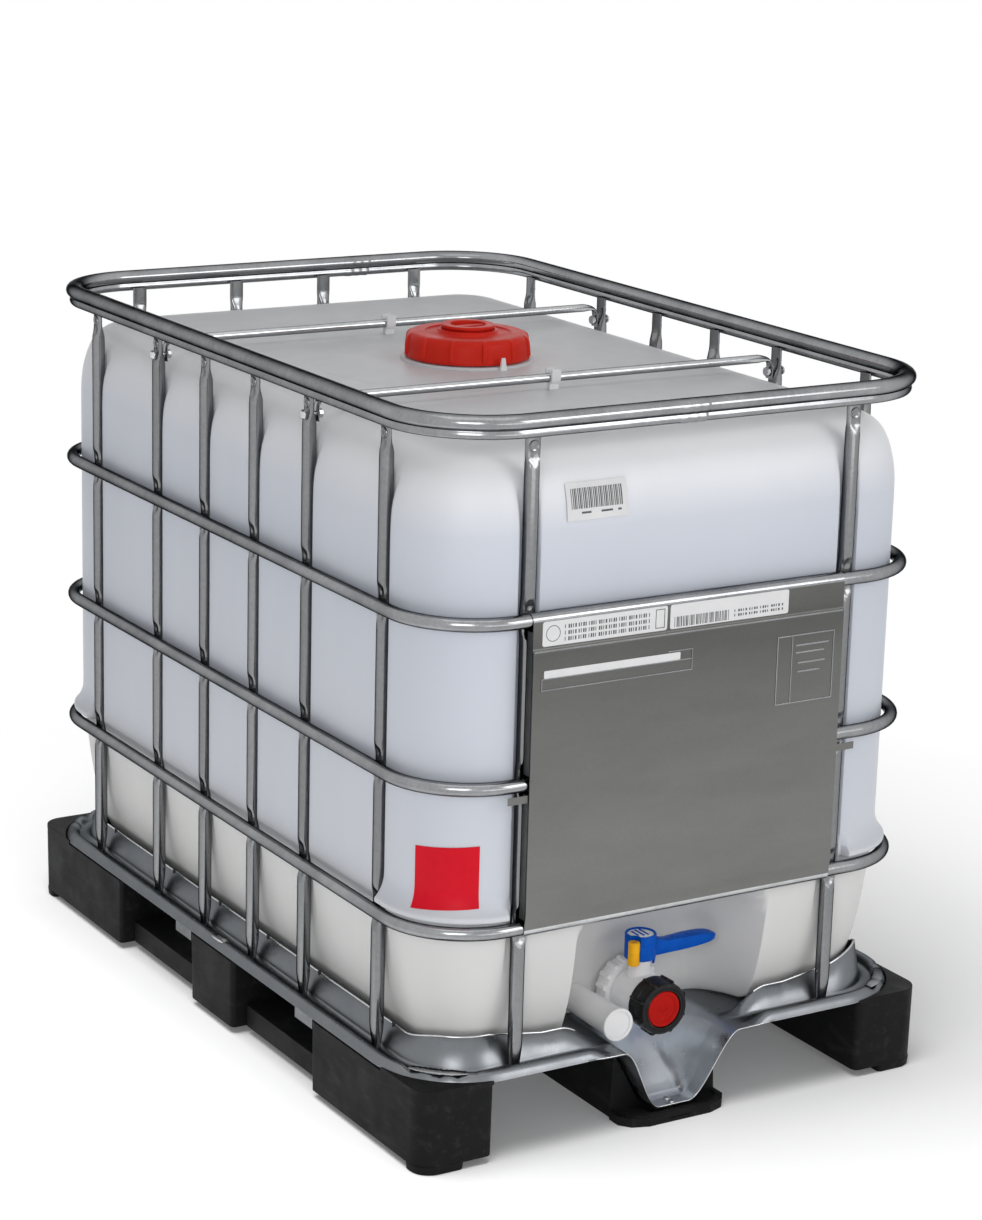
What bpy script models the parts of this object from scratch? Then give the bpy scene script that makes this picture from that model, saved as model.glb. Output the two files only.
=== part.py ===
"""Intermediate bulk container: plastic bottle in a welded tube cage on a pallet with a steel pan.

Metres, +Z up. X runs across the front, the outlet valve faces -Y, and the origin is the middle of the floor.
"""
import math

import bmesh
import bpy

# Footprint, height and the gap kept between pieces that touch
WIDTH = 0.800
LENGTH = 1.200
HEIGHT = 0.978
GAP = 0.0003

# Cage tubes
TUBE_RADIUS = 0.009
TUBE_SIDES = 8
HOOP_INSET = 0.014
HOOP_CORNER = 0.114
HOOP_LOWER = 0.310
HOOP_MIDDLE = 0.502
HOOP_UPPER = 0.715
CORNER_STEPS = 5
UPRIGHT_INSET = 0.028
SIDE_END = 0.168
SIDE_MIDDLE_HALF = 0.075
SIDE_PITCH = 0.152
FRONT_END = 0.154
BACK_END = 0.160
BACK_MIDDLE_HALF = 0.076
DENT_REACH = 0.020
DENT_WIDTH = 0.0105
FOOT_FLAT_WIDTH = 0.0075
FOOT_FLAT_DEPTH = 0.0045
FOOT_FLAT_REACH = 0.036
TOP_FLAT_WIDTH = 0.0115
TOP_FLAT_INNER = 0.0025
TOP_FLAT_REACH = 0.023

# Top rim, a bead over a narrower lobe
RIM_INSET = 0.015
RIM_CORNER = 0.125
RIM_BEAD_HALF = 0.014
RIM_BEAD_HEIGHT = 0.020
RIM_LOBE_HALF = 0.0085
RIM_LOBE_HEIGHT = 0.014
RIM_SHOULDER = 0.75
TAB_LAP = 0.009
DECK_BELOW_RIM = 0.056

# Tie bars over the deck, their screws and clips
BAR_RADIUS = 0.006
BAR_ABOVE_DECK = 0.0165
BAR_TAB_HALF_THICK = 0.0015
BAR_TAB_HALF_WIDTH = 0.008
BAR_TAB_DROP = 0.0095
BAR_TAB_LENGTH = 0.020
BAR_BEND = 0.020
BAR_BEND_START = 0.006
BAR_BEND_SLANT = 50.0
SCREW_RADIUS = 0.003
SCREW_HEAD_RADIUS = 0.007
SCREW_HEAD_HEIGHT = 0.0045
SCREW_CROWN_RADIUS = 0.0056
SCREW_CROWN_HEIGHT = 0.0032
SCREW_TIP_RADIUS = 0.0028
SCREW_NUT_RADIUS = 0.0065
SCREW_NUT_HEIGHT = 0.005
SCREW_PLAY = 0.0004
SCREW_SIDES = 8
CLIP_WALL = 0.0032
CLIP_LENGTH = 0.014
CLIP_HORN = 0.012
CLIP_STEM_HALF = 0.004

# Label plate
PLATE_LEFT_LAP = 0.006
PLATE_RIGHT_MARGIN = 0.018
PLATE_HEM_MARGIN = 0.012
PLATE_SHEET = 0.0012
PLATE_HEM_TOP = 40.0
PLATE_HEM_BOTTOM = 320.0
PLATE_HEM_STEPS = 6
PLATE_EAR_LENGTH = 0.030
PLATE_EAR_HEIGHT = 0.010
PLATE_EAR_DROP = 0.002

# Base pan
PAN_FLOOR = 0.1115
PAN_SHEET = 0.002
PAN_GUTTER = 0.1135
PAN_CORNER = 0.125
PAN_BEAD_TOP = 0.125
PAN_LIP = 0.1122
PAN_WALL_INSET = 0.0485
PAN_WALL_THICK = 0.003
PAN_WALL_SPLAY = 0.0055
PAN_WALL_SIDE = 0.160
PAN_WALL_FRONT = 0.142
PAN_WALL_CORNER = 0.176
PAN_BEAD_WIDTH = 0.0215
BEAD_INNER = 0.0172
BEAD_CROWN = 0.0103
BEAD_OUTER = 0.0026
BEAD_UNDER_INNER = 0.0155
BEAD_UNDER_OUTER = 0.0047
FLOOR_RING_PITCH = 0.035
FLOOR_RING_CORNER = 0.015

# Trough in the pan's front, under the valve
TROUGH_DEPTH = 0.0945
TROUGH_HALF_TOP = 0.092
TROUGH_HALF_FLOOR = 0.024
TROUGH_BACK = 0.180
TROUGH_RUN = 0.140
TROUGH_SETBACK = 0.015
TROUGH_STOPS = (TROUGH_HALF_FLOOR, 0.040, 0.058, 0.076)
BEAD_END = 0.108
BEAD_START = 0.140
TROUGH_SCREW_RADIUS = 0.0022
TROUGH_SCREW_HEAD = 0.0045
TROUGH_SCREW_CROWN = 0.0038
TROUGH_SCREW_PLACES = (0.0063, 0.01755)
WALL_END = 0.105
WALL_START = 0.180

# Pallet runners
RUNNER_WIDTH = 0.110
RUNNER_BOTTOM = 0.010
RUNNER_CORNER = 0.030
SKID_TOP = 0.045
SKID_INSET = 0.020
BLOCK_INNER_END = 0.300
MID_BLOCK_HALF = 0.067
BLOCK_DRAFT = 0.003
CORNER_POST_TOP = 0.1157
POST_PLAY = 0.0006
PAD_LENGTH = 0.045
PAD_WIDTH = 0.068
CENTRE_HALF_WIDTH = 0.080
CENTRE_PLATE_HEIGHT = 0.0125
CENTRE_BLOCK_FRONT = 0.045
CENTRE_BACK_TAPER = 0.015
# Rounded front of the foot plate: distance back from the front edge and half width
CENTRE_NOSE = ((0.0, 0.045), (0.008, 0.068), (0.023, 0.080))
CENTRE_PLATE_FLARE = 0.004
TROUGH_PLAY = 0.010
BRACKET_LENGTH = 0.050
BRACKET_DROP = 0.018
BRACKET_DEPTH = 0.016
BRACKET_SHEET = 0.0015

# Bottle
BOTTLE_INSET = 0.026
BOTTLE_CORNER = 0.105
BOTTLE_WALL = 0.0025
BOTTLE_TOP_CORNER = 0.020
BOTTLE_CORNER_STEPS = 4
# Ledge over the lower hoop at the corners: how far it stands out, and heights above the hoop's top
LEDGE_REACH = 0.014
LEDGE_START = 0.0015
LEDGE_UNDER = 0.004
LEDGE_OVER = 0.010
LEDGE_END = 0.042
LEDGE_TAPER_DROP = 0.018
LEDGE_TAPER = 0.006
# Foot: height above the pan's floor and inset from the footprint
BOTTLE_FOOT = ((0.0, 0.105), (0.011, 0.072), (0.0535, 0.054), (0.1035, 0.042))
# Shoulder: drop below the deck and inset beyond the wall's
BOTTLE_SHOULDER = ((0.122, 0.0), (0.072, 0.003), (0.036, 0.014), (0.013, 0.036), (0.004, 0.066), (0.0, 0.110))
SHOULDER_THICKENING = 0.012
GROOVE_PLAY = 0.0015
GROOVE_SLOPE = 0.006
RECESS_DEPTH = 0.155
RECESS_HALF_FLOOR = 0.132
RECESS_HALF_MOUTH = 0.166
RECESS_TOP = 0.262
RECESS_ARCH = 0.073

# Filling neck, lid and plug
NECK_INNER = 0.0725
NECK_OUTER = 0.079
NECK_HEIGHT = 0.028
SEAL_THICK = 0.003
THREAD_PLAY = 0.001
LID_WALL = 0.0085
LID_TOP_THICK = 0.0105
LID_SKIRT_GAP = 0.008
LID_RIBS = 12
LID_RIB_HEIGHT = 0.003
LID_TAPER = 0.003
LID_COLLAR_RADIUS = 0.042
LID_COLLAR_HEIGHT = 0.004
PLUG_BORE = 0.031
PLUG_LENGTH = 0.019
PLUG_HEAD_RADIUS = 0.038
PLUG_HEAD_HEIGHT = 0.0045
PLUG_RECESS_RADIUS = 0.025
PLUG_RECESS_DEPTH = 0.012
PLUG_BAR_HALF = 0.005
PLUG_SEAL_THICK = 0.0018
CATCH_STANDOFF = 0.004
CATCH_WIDTH = 0.010
CATCH_THICK = 0.005
CATCH_HEIGHT = 0.020

# Outlet valve; its axis runs along Y at OUTLET_LEVEL
OUTLET_LEVEL = 0.140
OUTLET_NECK_LENGTH = 0.017
OUTLET_NECK_RADIUS = 0.037
OUTLET_BORE = 0.025
GASKET_THICK = 0.002
VALVE_FLANGE_THICK = 0.004
VALVE_RADIUS = 0.033
VALVE_THREAD_RADIUS = 0.030
VALVE_THREAD_LENGTH = 0.030
VALVE_LENGTH = 0.0804
STEM_SETBACK = 0.055
STEM_RADIUS = 0.006
STEM_PLAY = 0.0005
STEM_BOSS_RADIUS = 0.015
STEM_TOP = 0.2145
STEM_FOOT_DEPTH = 0.030
STEM_SIDES = 12
DISC_RADIUS = 0.0238
DISC_THICK = 0.005
DISC_HUB_RADIUS = 0.0095
DISC_HUB_HALF = 0.021
NUT_WALL = 0.007
NUT_LIP = 0.0037
NUT_LAP = 0.012
HUB_RADIUS = 0.0215
HUB_BOTTOM = 0.1935
HUB_TOP = 0.2285
HUB_SOFT = 0.003
HUB_SIDES = 20
LEVER_LENGTH = 0.120
# Blade: place along it, half width, low edge and high edge above the hub's bottom
LEVER_SECTIONS = ((0.012, 0.012, 0.002, 0.030), (0.029, 0.0115, 0.001, 0.029),
                  (0.043, 0.011, 0.002, 0.0275), (0.072, 0.0125, 0.006, 0.0275),
                  (0.101, 0.013, 0.012, 0.0265), (0.114, 0.0105, 0.0145, 0.0245),
                  (LEVER_LENGTH, 0.005, 0.0165, 0.0215))
LOCK_RADIUS = 0.008
LOCK_OFFSET_X = -0.0193
LOCK_OFFSET_Y = -0.0136
LOCK_FOOT_DROP = 0.004
LOCK_TOP_DROP = 0.006
LOCK_SLOT_HALF = 0.0012
LOCK_SLOT_DEPTH = 0.003
LOCK_SIDES = 16
CAP_WALL = 0.0055
CAP_RIBS = 8
CAP_RIB_HEIGHT = 0.0032
CAP_LENGTH = 0.033
CAP_LIP = 0.0045
CAP_WINDOW = 0.026
OUTLET_SEAL_FLANGE = 0.0029
OUTLET_SEAL_FACE = 0.004
OUTLET_SEAL_DISH = 0.0185
OUTLET_SEAL_DISH_FLOOR = 0.0165
SPOUT_BACK_RADIUS = 0.021
SPOUT_FRONT_RADIUS = 0.0235
SPOUT_RIM_RADIUS = 0.0255
SPOUT_RIM_LENGTH = 0.009
SPOUT_END_RADIUS = 0.0205
SPOUT_END_DEPTH = 0.0025
SPOUT_LENGTH = 0.111
SPOUT_OFFSET = 0.075
SPOUT_ABOVE_FLOOR = 0.022
ROUND_SIDES = 24

# Positions worked out from the sizes above
HALF_W = WIDTH / 2
HALF_L = LENGTH / 2
UPRIGHT_X = HALF_W - UPRIGHT_INSET
UPRIGHT_Y = HALF_L - UPRIGHT_INSET
RIM_BOTTOM = HEIGHT - RIM_BEAD_HEIGHT - RIM_LOBE_HEIGHT
BOTTLE_DECK = HEIGHT - DECK_BELOW_RIM
BAR_LEVEL = BOTTLE_DECK + BAR_ABOVE_DECK
BAR_TAB_TOP = BAR_LEVEL - BAR_TAB_DROP
NECK_TOP = BOTTLE_DECK + NECK_HEIGHT
LID_BOTTOM = BOTTLE_DECK + LID_SKIRT_GAP
SIDE_HALF = (SIDE_MIDDLE_HALF, SIDE_MIDDLE_HALF + SIDE_PITCH, HALF_L - SIDE_END)
SIDE_UPRIGHTS = tuple(-place for place in reversed(SIDE_HALF)) + SIDE_HALF
FRONT_UPRIGHTS = (FRONT_END - HALF_W, HALF_W - FRONT_END)
BACK_UPRIGHTS = (BACK_END - HALF_W, -BACK_MIDDLE_HALF, BACK_MIDDLE_HALF, HALF_W - BACK_END)
PLATE_LEFT = FRONT_UPRIGHTS[0] - PLATE_LEFT_LAP
PLATE_RIGHT = FRONT_UPRIGHTS[1] - PLATE_RIGHT_MARGIN
PLATE_HEM_LEFT = FRONT_UPRIGHTS[0] + PLATE_HEM_MARGIN
STEM_BOSS_TOP = HUB_BOTTOM - GAP
RECESS_Y = -HALF_L + RECESS_DEPTH
OUTLET_NECK_END = RECESS_Y - OUTLET_NECK_LENGTH
VALVE_BACK = OUTLET_NECK_END - GASKET_THICK - 2 * GAP
VALVE_FRONT = VALVE_BACK - VALVE_LENGTH
STEM_Y = VALVE_FRONT + STEM_SETBACK
LID_RADIUS = NECK_OUTER + THREAD_PLAY + LID_WALL
LID_UNDER = NECK_TOP + SEAL_THICK + 2 * GAP
LID_TOP = LID_UNDER + LID_TOP_THICK
COLLAR_TOP = LID_TOP + LID_COLLAR_HEIGHT
GROOVE_HALF = TUBE_RADIUS + GROOVE_PLAY
FLOOR_RINGS = tuple(TROUGH_BACK - FLOOR_RING_PITCH * step for step in range(4))
FRONT_CUT_STOPS = (TROUGH_HALF_TOP, WALL_END, BEAD_END, BEAD_START, WALL_START)


def material(name, colour, roughness, metallic=0.0):
    made = bpy.data.materials.new(name)
    made.use_nodes = True
    shader = made.node_tree.nodes["Principled BSDF"]
    shader.inputs["Base Color"].default_value = (*colour, 1.0)
    shader.inputs["Roughness"].default_value = roughness
    shader.inputs["Metallic"].default_value = metallic
    return made


def smooth_step(low, high, value):
    t = min(1.0, max(0.0, (value - low) / (high - low)))
    return t * t * (3.0 - 2.0 * t)


def add_object(name, shape, finish, origin=(0.0, 0.0, 0.0)):
    """Turn a bmesh in world places into an object whose origin is at the given point."""
    bmesh.ops.recalc_face_normals(shape, faces=shape.faces)
    bmesh.ops.translate(shape, verts=shape.verts, vec=[-value for value in origin])
    mesh = bpy.data.meshes.new(name)
    shape.to_mesh(mesh)
    shape.free()
    mesh.materials.append(finish)
    mesh.shade_smooth()
    mesh.set_sharp_from_angle(angle=math.radians(35))
    made = bpy.data.objects.new(name, mesh)
    made.location = origin
    bpy.context.scene.collection.objects.link(made)
    return made


def add_cutter(name, shape):
    made = add_object(name, shape, bpy.data.materials["steel"])
    made.hide_render = True
    made.display_type = "WIRE"
    return made


def combine(target, tool, operation):
    step = target.modifiers.new(tool.name, "BOOLEAN")
    step.operation = operation
    step.object = tool


def skin(rings, capped=True):
    """Join rings of equal point counts with quads, capped at both ends or closed on themselves."""
    shape = bmesh.new()
    rows = [[shape.verts.new(point) for point in ring] for ring in rings]
    pairs = list(zip(rows, rows[1:]))
    if not capped:
        pairs.append((rows[-1], rows[0]))
    for low, high in pairs:
        for index in range(len(low)):
            after = (index + 1) % len(low)
            shape.faces.new((low[index], low[after], high[after], high[index]))
    if capped:
        shape.faces.new(rows[0])
        shape.faces.new(rows[-1])
    return shape


def rounded_rectangle(half_x, half_y, radius, steps, front=(), side=(), back=(), bulge=0.0):
    """Points anticlockwise from the front left; a stop is a place along a side and an inset there."""
    corner_x = half_x - radius
    corner_y = half_y - radius

    def corner(sign_x, sign_y, start):
        points = []
        for index in range(steps + 1):
            turn = math.radians(start + 90.0 * index / steps)
            reach = radius + bulge
            x = sign_x * corner_x + reach * math.cos(turn)
            y = sign_y * corner_y + reach * math.sin(turn)
            points.append((x, y))
        return points

    points = [(place, -half_y + inset) for place, inset in front]
    points += corner(1, -1, -90.0)
    points += [(half_x - inset, place) for place, inset in side]
    points += corner(1, 1, 0.0)
    points += [(place, half_y - inset) for place, inset in reversed(back)]
    points += corner(-1, 1, 90.0)
    points += [(-half_x + inset, place) for place, inset in reversed(side)]
    points += corner(-1, -1, 180.0)
    return points


def swept_ring(half_x, half_y, radius, profile):
    """Sweep a closed profile of (outward offset, height) points round a rounded rectangle."""
    rings = []
    for offset, level in profile:
        outline = rounded_rectangle(half_x + offset, half_y + offset, radius + offset, CORNER_STEPS)
        rings.append([(x, y, level) for x, y in outline])
    return skin(rings, capped=False)


def circle(radius, sides, ribs=0, rib_height=0.0):
    """Points of a circle; with ribs, every second pair of points of each rib stands out."""
    if ribs:
        sides = ribs * 4
    points = []
    for index in range(sides):
        turn = 2.0 * math.pi * index / sides
        reach = radius
        if ribs and index % 4 in (1, 2):
            reach = radius + rib_height
        points.append((reach * math.cos(turn), reach * math.sin(turn)))
    return points


def turned_upright(profile, centre, sides=ROUND_SIDES, capped=True, ribs=0):
    """Turn (radius, height, rib height) points about a vertical axis."""
    rings = []
    for radius, level, rib_height in profile:
        outline = circle(radius, sides, ribs, rib_height)
        rings.append([(centre[0] + x, centre[1] + y, level) for x, y in outline])
    return skin(rings, capped)


def turned_along_y(profile, centre, sides=ROUND_SIDES, capped=True, ribs=0):
    """Turn (radius, y, rib height) points about an axis along Y through (x, z)."""
    rings = []
    for radius, place, rib_height in profile:
        outline = circle(radius, sides, ribs, rib_height)
        rings.append([(centre[0] + x, place, centre[1] + z) for x, z in outline])
    return skin(rings, capped)


def turned_along_x(profile, centre, sides):
    rings = []
    for radius, place in profile:
        outline = circle(radius, sides)
        rings.append([(place, centre[0] + y, centre[1] + z) for y, z in outline])
    return skin(rings)


def plain(pairs):
    return [(radius, level, 0.0) for radius, level in pairs]


def box(low, high):
    corners = [(low[0], low[1]), (high[0], low[1]), (high[0], high[1]), (low[0], high[1])]
    return skin([[(x, y, level) for x, y in corners] for level in (low[2], high[2])])


def upright_sections():
    """Levels of an upright with its half width and its outward and inward half depths."""
    dent = UPRIGHT_INSET - HOOP_INSET - TUBE_RADIUS - GAP
    tab_out = UPRIGHT_INSET - RIM_INSET - RIM_LOBE_HALF - GAP
    foot = PAN_GUTTER + GAP
    top = RIM_BOTTOM + TAB_LAP
    round_tube = (TUBE_RADIUS, TUBE_RADIUS, TUBE_RADIUS)
    sections = [(foot, FOOT_FLAT_WIDTH, FOOT_FLAT_DEPTH, FOOT_FLAT_DEPTH)]
    sections.append((foot + FOOT_FLAT_REACH, *round_tube))
    for level in (HOOP_LOWER, HOOP_MIDDLE, HOOP_UPPER):
        sections.append((level - DENT_REACH, *round_tube))
        sections.append((level, DENT_WIDTH, dent, TUBE_RADIUS))
        sections.append((level + DENT_REACH, *round_tube))
    sections.append((top - TOP_FLAT_REACH, *round_tube))
    middle = (TOP_FLAT_WIDTH + TUBE_RADIUS) / 2
    sections.append((RIM_BOTTOM - GAP, middle, tab_out, TUBE_RADIUS / 2))
    sections.append((top, TOP_FLAT_WIDTH, tab_out, TOP_FLAT_INNER))
    return sections


def make_upright(name, x, y, outward, finish):
    """One upright at (x, y); outward is the direction away from the bottle."""
    along = (-outward[1], outward[0])
    rings = []
    for level, width, out_depth, in_depth in upright_sections():
        ring = []
        for u, v in circle(1.0, TUBE_SIDES):
            depth = v * (out_depth if v > 0 else in_depth)
            ring.append((x + u * width * along[0] + depth * outward[0],
                         y + u * width * along[1] + depth * outward[1], level))
        rings.append(ring)
    return add_object(name, skin(rings), finish)


def make_uprights(finish):
    made = {}
    for index, y in enumerate(SIDE_UPRIGHTS, start=1):
        for side, sign in (("left", -1), ("right", 1)):
            name = f"upright_{side}_{index}"
            made[name] = make_upright(name, sign * UPRIGHT_X, y, (sign, 0), finish)
    for index, x in enumerate(FRONT_UPRIGHTS, start=1):
        name = f"upright_front_{index}"
        made[name] = make_upright(name, x, -UPRIGHT_Y, (0, -1), finish)
    for index, x in enumerate(BACK_UPRIGHTS, start=1):
        name = f"upright_back_{index}"
        made[name] = make_upright(name, x, UPRIGHT_Y, (0, 1), finish)
    return made


def make_hoops(finish):
    levels = {"hoop_lower": HOOP_LOWER, "hoop_middle": HOOP_MIDDLE, "hoop_upper": HOOP_UPPER}
    for name, level in levels.items():
        profile = [(x, level + z) for x, z in circle(TUBE_RADIUS, TUBE_SIDES)]
        shape = swept_ring(HALF_W - HOOP_INSET, HALF_L - HOOP_INSET, HOOP_CORNER, profile)
        add_object(name, shape, finish)


def make_top_rim(finish):
    bead_middle = HEIGHT - RIM_BEAD_HEIGHT / 2
    neck = HEIGHT - RIM_BEAD_HEIGHT
    lobe_middle = neck - RIM_LOBE_HEIGHT / 2
    bead_shoulder = RIM_BEAD_HALF * RIM_SHOULDER
    bead_drop = RIM_BEAD_HEIGHT * (1 - RIM_SHOULDER) / 2
    lobe_shoulder = RIM_LOBE_HALF * RIM_SHOULDER
    lobe_drop = RIM_LOBE_HEIGHT * (1 - RIM_SHOULDER) / 2
    outer = [(bead_shoulder, HEIGHT - bead_drop), (RIM_BEAD_HALF, bead_middle),
             (bead_shoulder, neck + bead_drop), (lobe_shoulder, neck),
             (RIM_LOBE_HALF, lobe_middle), (lobe_shoulder, RIM_BOTTOM + lobe_drop)]
    inner = [(-offset, level) for offset, level in reversed(outer)]
    profile = [(0.0, HEIGHT)] + outer + [(0.0, RIM_BOTTOM)] + inner
    add_object("top_rim", swept_ring(HALF_W - RIM_INSET, HALF_L - RIM_INSET, RIM_CORNER, profile), finish)


def tie_bar_path():
    """Half of a tie bar as (x, z, direction across, half thickness, half width) from its end to its run."""
    tab_x = UPRIGHT_X - TUBE_RADIUS - GAP - BAR_TAB_HALF_THICK
    flat = (BAR_TAB_HALF_THICK, BAR_TAB_HALF_WIDTH)
    half_way = ((BAR_TAB_HALF_THICK + BAR_RADIUS) / 2, (BAR_TAB_HALF_WIDTH + BAR_RADIUS) / 2)
    slant = math.radians(BAR_BEND_SLANT)
    return [(tab_x, BAR_TAB_TOP - BAR_TAB_LENGTH, 0.0, *flat), (tab_x, BAR_TAB_TOP, 0.0, *flat),
            (tab_x - BAR_BEND_START, BAR_LEVEL - BAR_RADIUS / 3, slant, *half_way),
            (tab_x - BAR_BEND, BAR_LEVEL, math.radians(90), BAR_RADIUS, BAR_RADIUS)]


def make_tie_bar(name, y, finish):
    half = tie_bar_path()
    rings = []
    for sign, stations in ((-1, half), (1, list(reversed(half)))):
        for x, z, turn, thick, width in stations:
            ring = []
            for u, v in circle(1.0, TUBE_SIDES):
                out = u * thick * math.cos(turn)
                lift = u * thick * math.sin(turn)
                ring.append((sign * (x + out), y + v * width, z + lift))
            rings.append(ring)
    return add_object(name, skin(rings), finish)


def make_tie_bars(uprights, finish, screw_finish):
    screw_level = BAR_TAB_TOP - BAR_TAB_LENGTH / 2
    outer_face = UPRIGHT_X + TUBE_RADIUS + GAP
    inner_face = UPRIGHT_X - TUBE_RADIUS - 2 * GAP - 2 * BAR_TAB_HALF_THICK
    number = 0
    for bar_name, upright_index in (("tie_bar_front", 2), ("tie_bar_rear", 5)):
        y = SIDE_UPRIGHTS[upright_index - 1]
        bar = make_tie_bar(bar_name, y, finish)
        for side, sign in (("left", -1), ("right", 1)):
            number += 1
            profile = [(SCREW_NUT_RADIUS, inner_face - SCREW_NUT_HEIGHT), (SCREW_NUT_RADIUS, inner_face),
                       (SCREW_RADIUS, inner_face), (SCREW_RADIUS, outer_face),
                       (SCREW_HEAD_RADIUS, outer_face),
                       (SCREW_CROWN_RADIUS, outer_face + SCREW_CROWN_HEIGHT),
                       (SCREW_TIP_RADIUS, outer_face + SCREW_HEAD_HEIGHT)]
            placed = [(radius, sign * x) for radius, x in profile]
            screw = turned_along_x(placed, (y, screw_level), SCREW_SIDES)
            add_object(f"tie_screw_{number}", screw, screw_finish)
            reach = (sign * (inner_face - SCREW_NUT_HEIGHT), sign * (outer_face + SCREW_HEAD_HEIGHT))
            hole_profile = [(SCREW_RADIUS + SCREW_PLAY, x) for x in reach]
            hole_shape = turned_along_x(hole_profile, (y, screw_level), SCREW_SIDES)
            hole = add_cutter(f"cut_tie_{number}", hole_shape)
            combine(bar, hole, "DIFFERENCE")
            combine(uprights[f"upright_{side}_{upright_index}"], hole, "DIFFERENCE")


def make_bar_clips(finish):
    """U-shaped clips that stand on the deck and hold each bar at its middle."""
    inner = BAR_RADIUS + GAP
    outer = inner + CLIP_WALL
    top = BAR_LEVEL + CLIP_HORN
    foot = BOTTLE_DECK + GAP
    stem_turn = math.asin(CLIP_STEM_HALF / outer)
    outer_arc = [math.pi + (math.pi / 2 - stem_turn) * step / 3 for step in range(4)]
    inner_arc = [math.pi + math.pi * step / 6 for step in range(7)]
    left = [(-outer, top)] + [(outer * math.cos(t), BAR_LEVEL + outer * math.sin(t)) for t in outer_arc]
    left.append((-CLIP_STEM_HALF, foot))
    right = [(-y, z) for y, z in reversed(left)]
    channel = [(inner * math.cos(t), BAR_LEVEL + inner * math.sin(t)) for t in reversed(inner_arc)]
    outline = left + right + [(inner, top)] + channel + [(-inner, top)]
    for name, index in (("bar_clip_front", 1), ("bar_clip_rear", 4)):
        bar_y = SIDE_UPRIGHTS[index]
        rings = [[(x, bar_y + y, z) for y, z in outline] for x in (-CLIP_LENGTH / 2, CLIP_LENGTH / 2)]
        add_object(name, skin(rings), finish)


def make_label_plate(finish):
    """Sheet hooked over the upper hoop and under the lower one, with ears under the middle hoop."""
    hoop_y = -HALF_L + HOOP_INSET
    inner = TUBE_RADIUS + GAP
    outer = inner + PLATE_SHEET

    def hem(radius):
        points = []
        for level, start, end in ((HOOP_UPPER, PLATE_HEM_TOP, 180.0), (HOOP_LOWER, 180.0, PLATE_HEM_BOTTOM)):
            for index in range(PLATE_HEM_STEPS + 1):
                turn = math.radians(start + (end - start) * index / PLATE_HEM_STEPS)
                points.append((hoop_y + radius * math.cos(turn), level + radius * math.sin(turn)))
        return points

    outline = hem(outer) + list(reversed(hem(inner)))
    rings = [[(x, y, z) for y, z in outline] for x in (PLATE_LEFT, PLATE_RIGHT)]
    plate = add_object("label_plate", skin(rings), finish)
    notch_low = (PLATE_LEFT - PLATE_SHEET, hoop_y, HOOP_LOWER - 2 * outer)
    notch_high = (PLATE_HEM_LEFT, hoop_y + 2 * outer, HOOP_UPPER + 2 * outer)
    combine(plate, add_cutter("cut_hem_notch", box(notch_low, notch_high)), "DIFFERENCE")
    ear_top = HOOP_MIDDLE - TUBE_RADIUS - PLATE_EAR_DROP
    front = hoop_y - outer
    for side, sign, edge in (("left", -1, PLATE_LEFT), ("right", 1, PLATE_RIGHT)):
        root = edge - sign * PLATE_EAR_LENGTH / 3
        tip = edge + sign * PLATE_EAR_LENGTH
        low = (min(root, tip), front + PLATE_SHEET / 4, ear_top - PLATE_EAR_HEIGHT)
        high = (max(root, tip), front + PLATE_SHEET * 3 / 4, ear_top)
        combine(plate, add_cutter(f"ear_{side}", box(low, high)), "UNION")


def trough_drop(x, y):
    """How far the pan's sheet dips at (x, y) to form the trough."""
    across = smooth_step(-TROUGH_HALF_TOP, -TROUGH_HALF_FLOOR, -abs(x))
    start = -HALF_L + TROUGH_BACK
    along = min(1.0, max(0.0, (start - y) / TROUGH_RUN))
    return TROUGH_DEPTH * across * along


def pan_wall_level(x, y):
    """Height of the pan's wall: lower in front, higher at the corners and gone beside the trough."""
    middle_x = HALF_W - PAN_CORNER
    middle_y = HALF_L - PAN_CORNER
    in_corner = smooth_step(0.0, PAN_CORNER / 2, min(abs(x) - middle_x, abs(y) - middle_y) + PAN_CORNER / 4)
    level = PAN_WALL_SIDE
    if y < -middle_y:
        level = PAN_WALL_FRONT
    level += (PAN_WALL_CORNER - level) * in_corner
    if y < -middle_y:
        level = PAN_FLOOR + (level - PAN_FLOOR) * smooth_step(WALL_END, WALL_START, abs(x))
    return level


def pan_ring(inset, level, kind):
    """One ring of the pan; kind says how its height changes beside the trough."""
    radius = max(PAN_CORNER - inset, FLOOR_RING_CORNER)
    stops = (0.0,) + TROUGH_STOPS + FRONT_CUT_STOPS
    front = [(-stop, 0.0) for stop in reversed(stops[1:])] + [(stop, 0.0) for stop in stops]
    ring = []
    for x, y in rounded_rectangle(HALF_W - inset, HALF_L - inset, radius, CORNER_STEPS, front=front):
        z = level
        in_front = y < -HALF_L + PAN_CORNER
        bead = smooth_step(BEAD_END, BEAD_START, abs(x)) if in_front else 1.0
        if kind == "wall":
            z = pan_wall_level(x, y)
        elif kind == "top":
            z = PAN_FLOOR + (level - PAN_FLOOR) * bead
        elif kind == "under":
            z = PAN_FLOOR - PAN_SHEET + (level - PAN_FLOOR + PAN_SHEET) * bead
        z -= trough_drop(x, y)
        flat_length = TROUGH_BACK - TROUGH_RUN
        if in_front and inset < flat_length:
            dip = smooth_step(-TROUGH_HALF_TOP, -TROUGH_HALF_FLOOR, -abs(x))
            y += dip * TROUGH_SETBACK * (1.0 - inset / flat_length)
        ring.append((x, y, z))
    return ring


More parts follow.
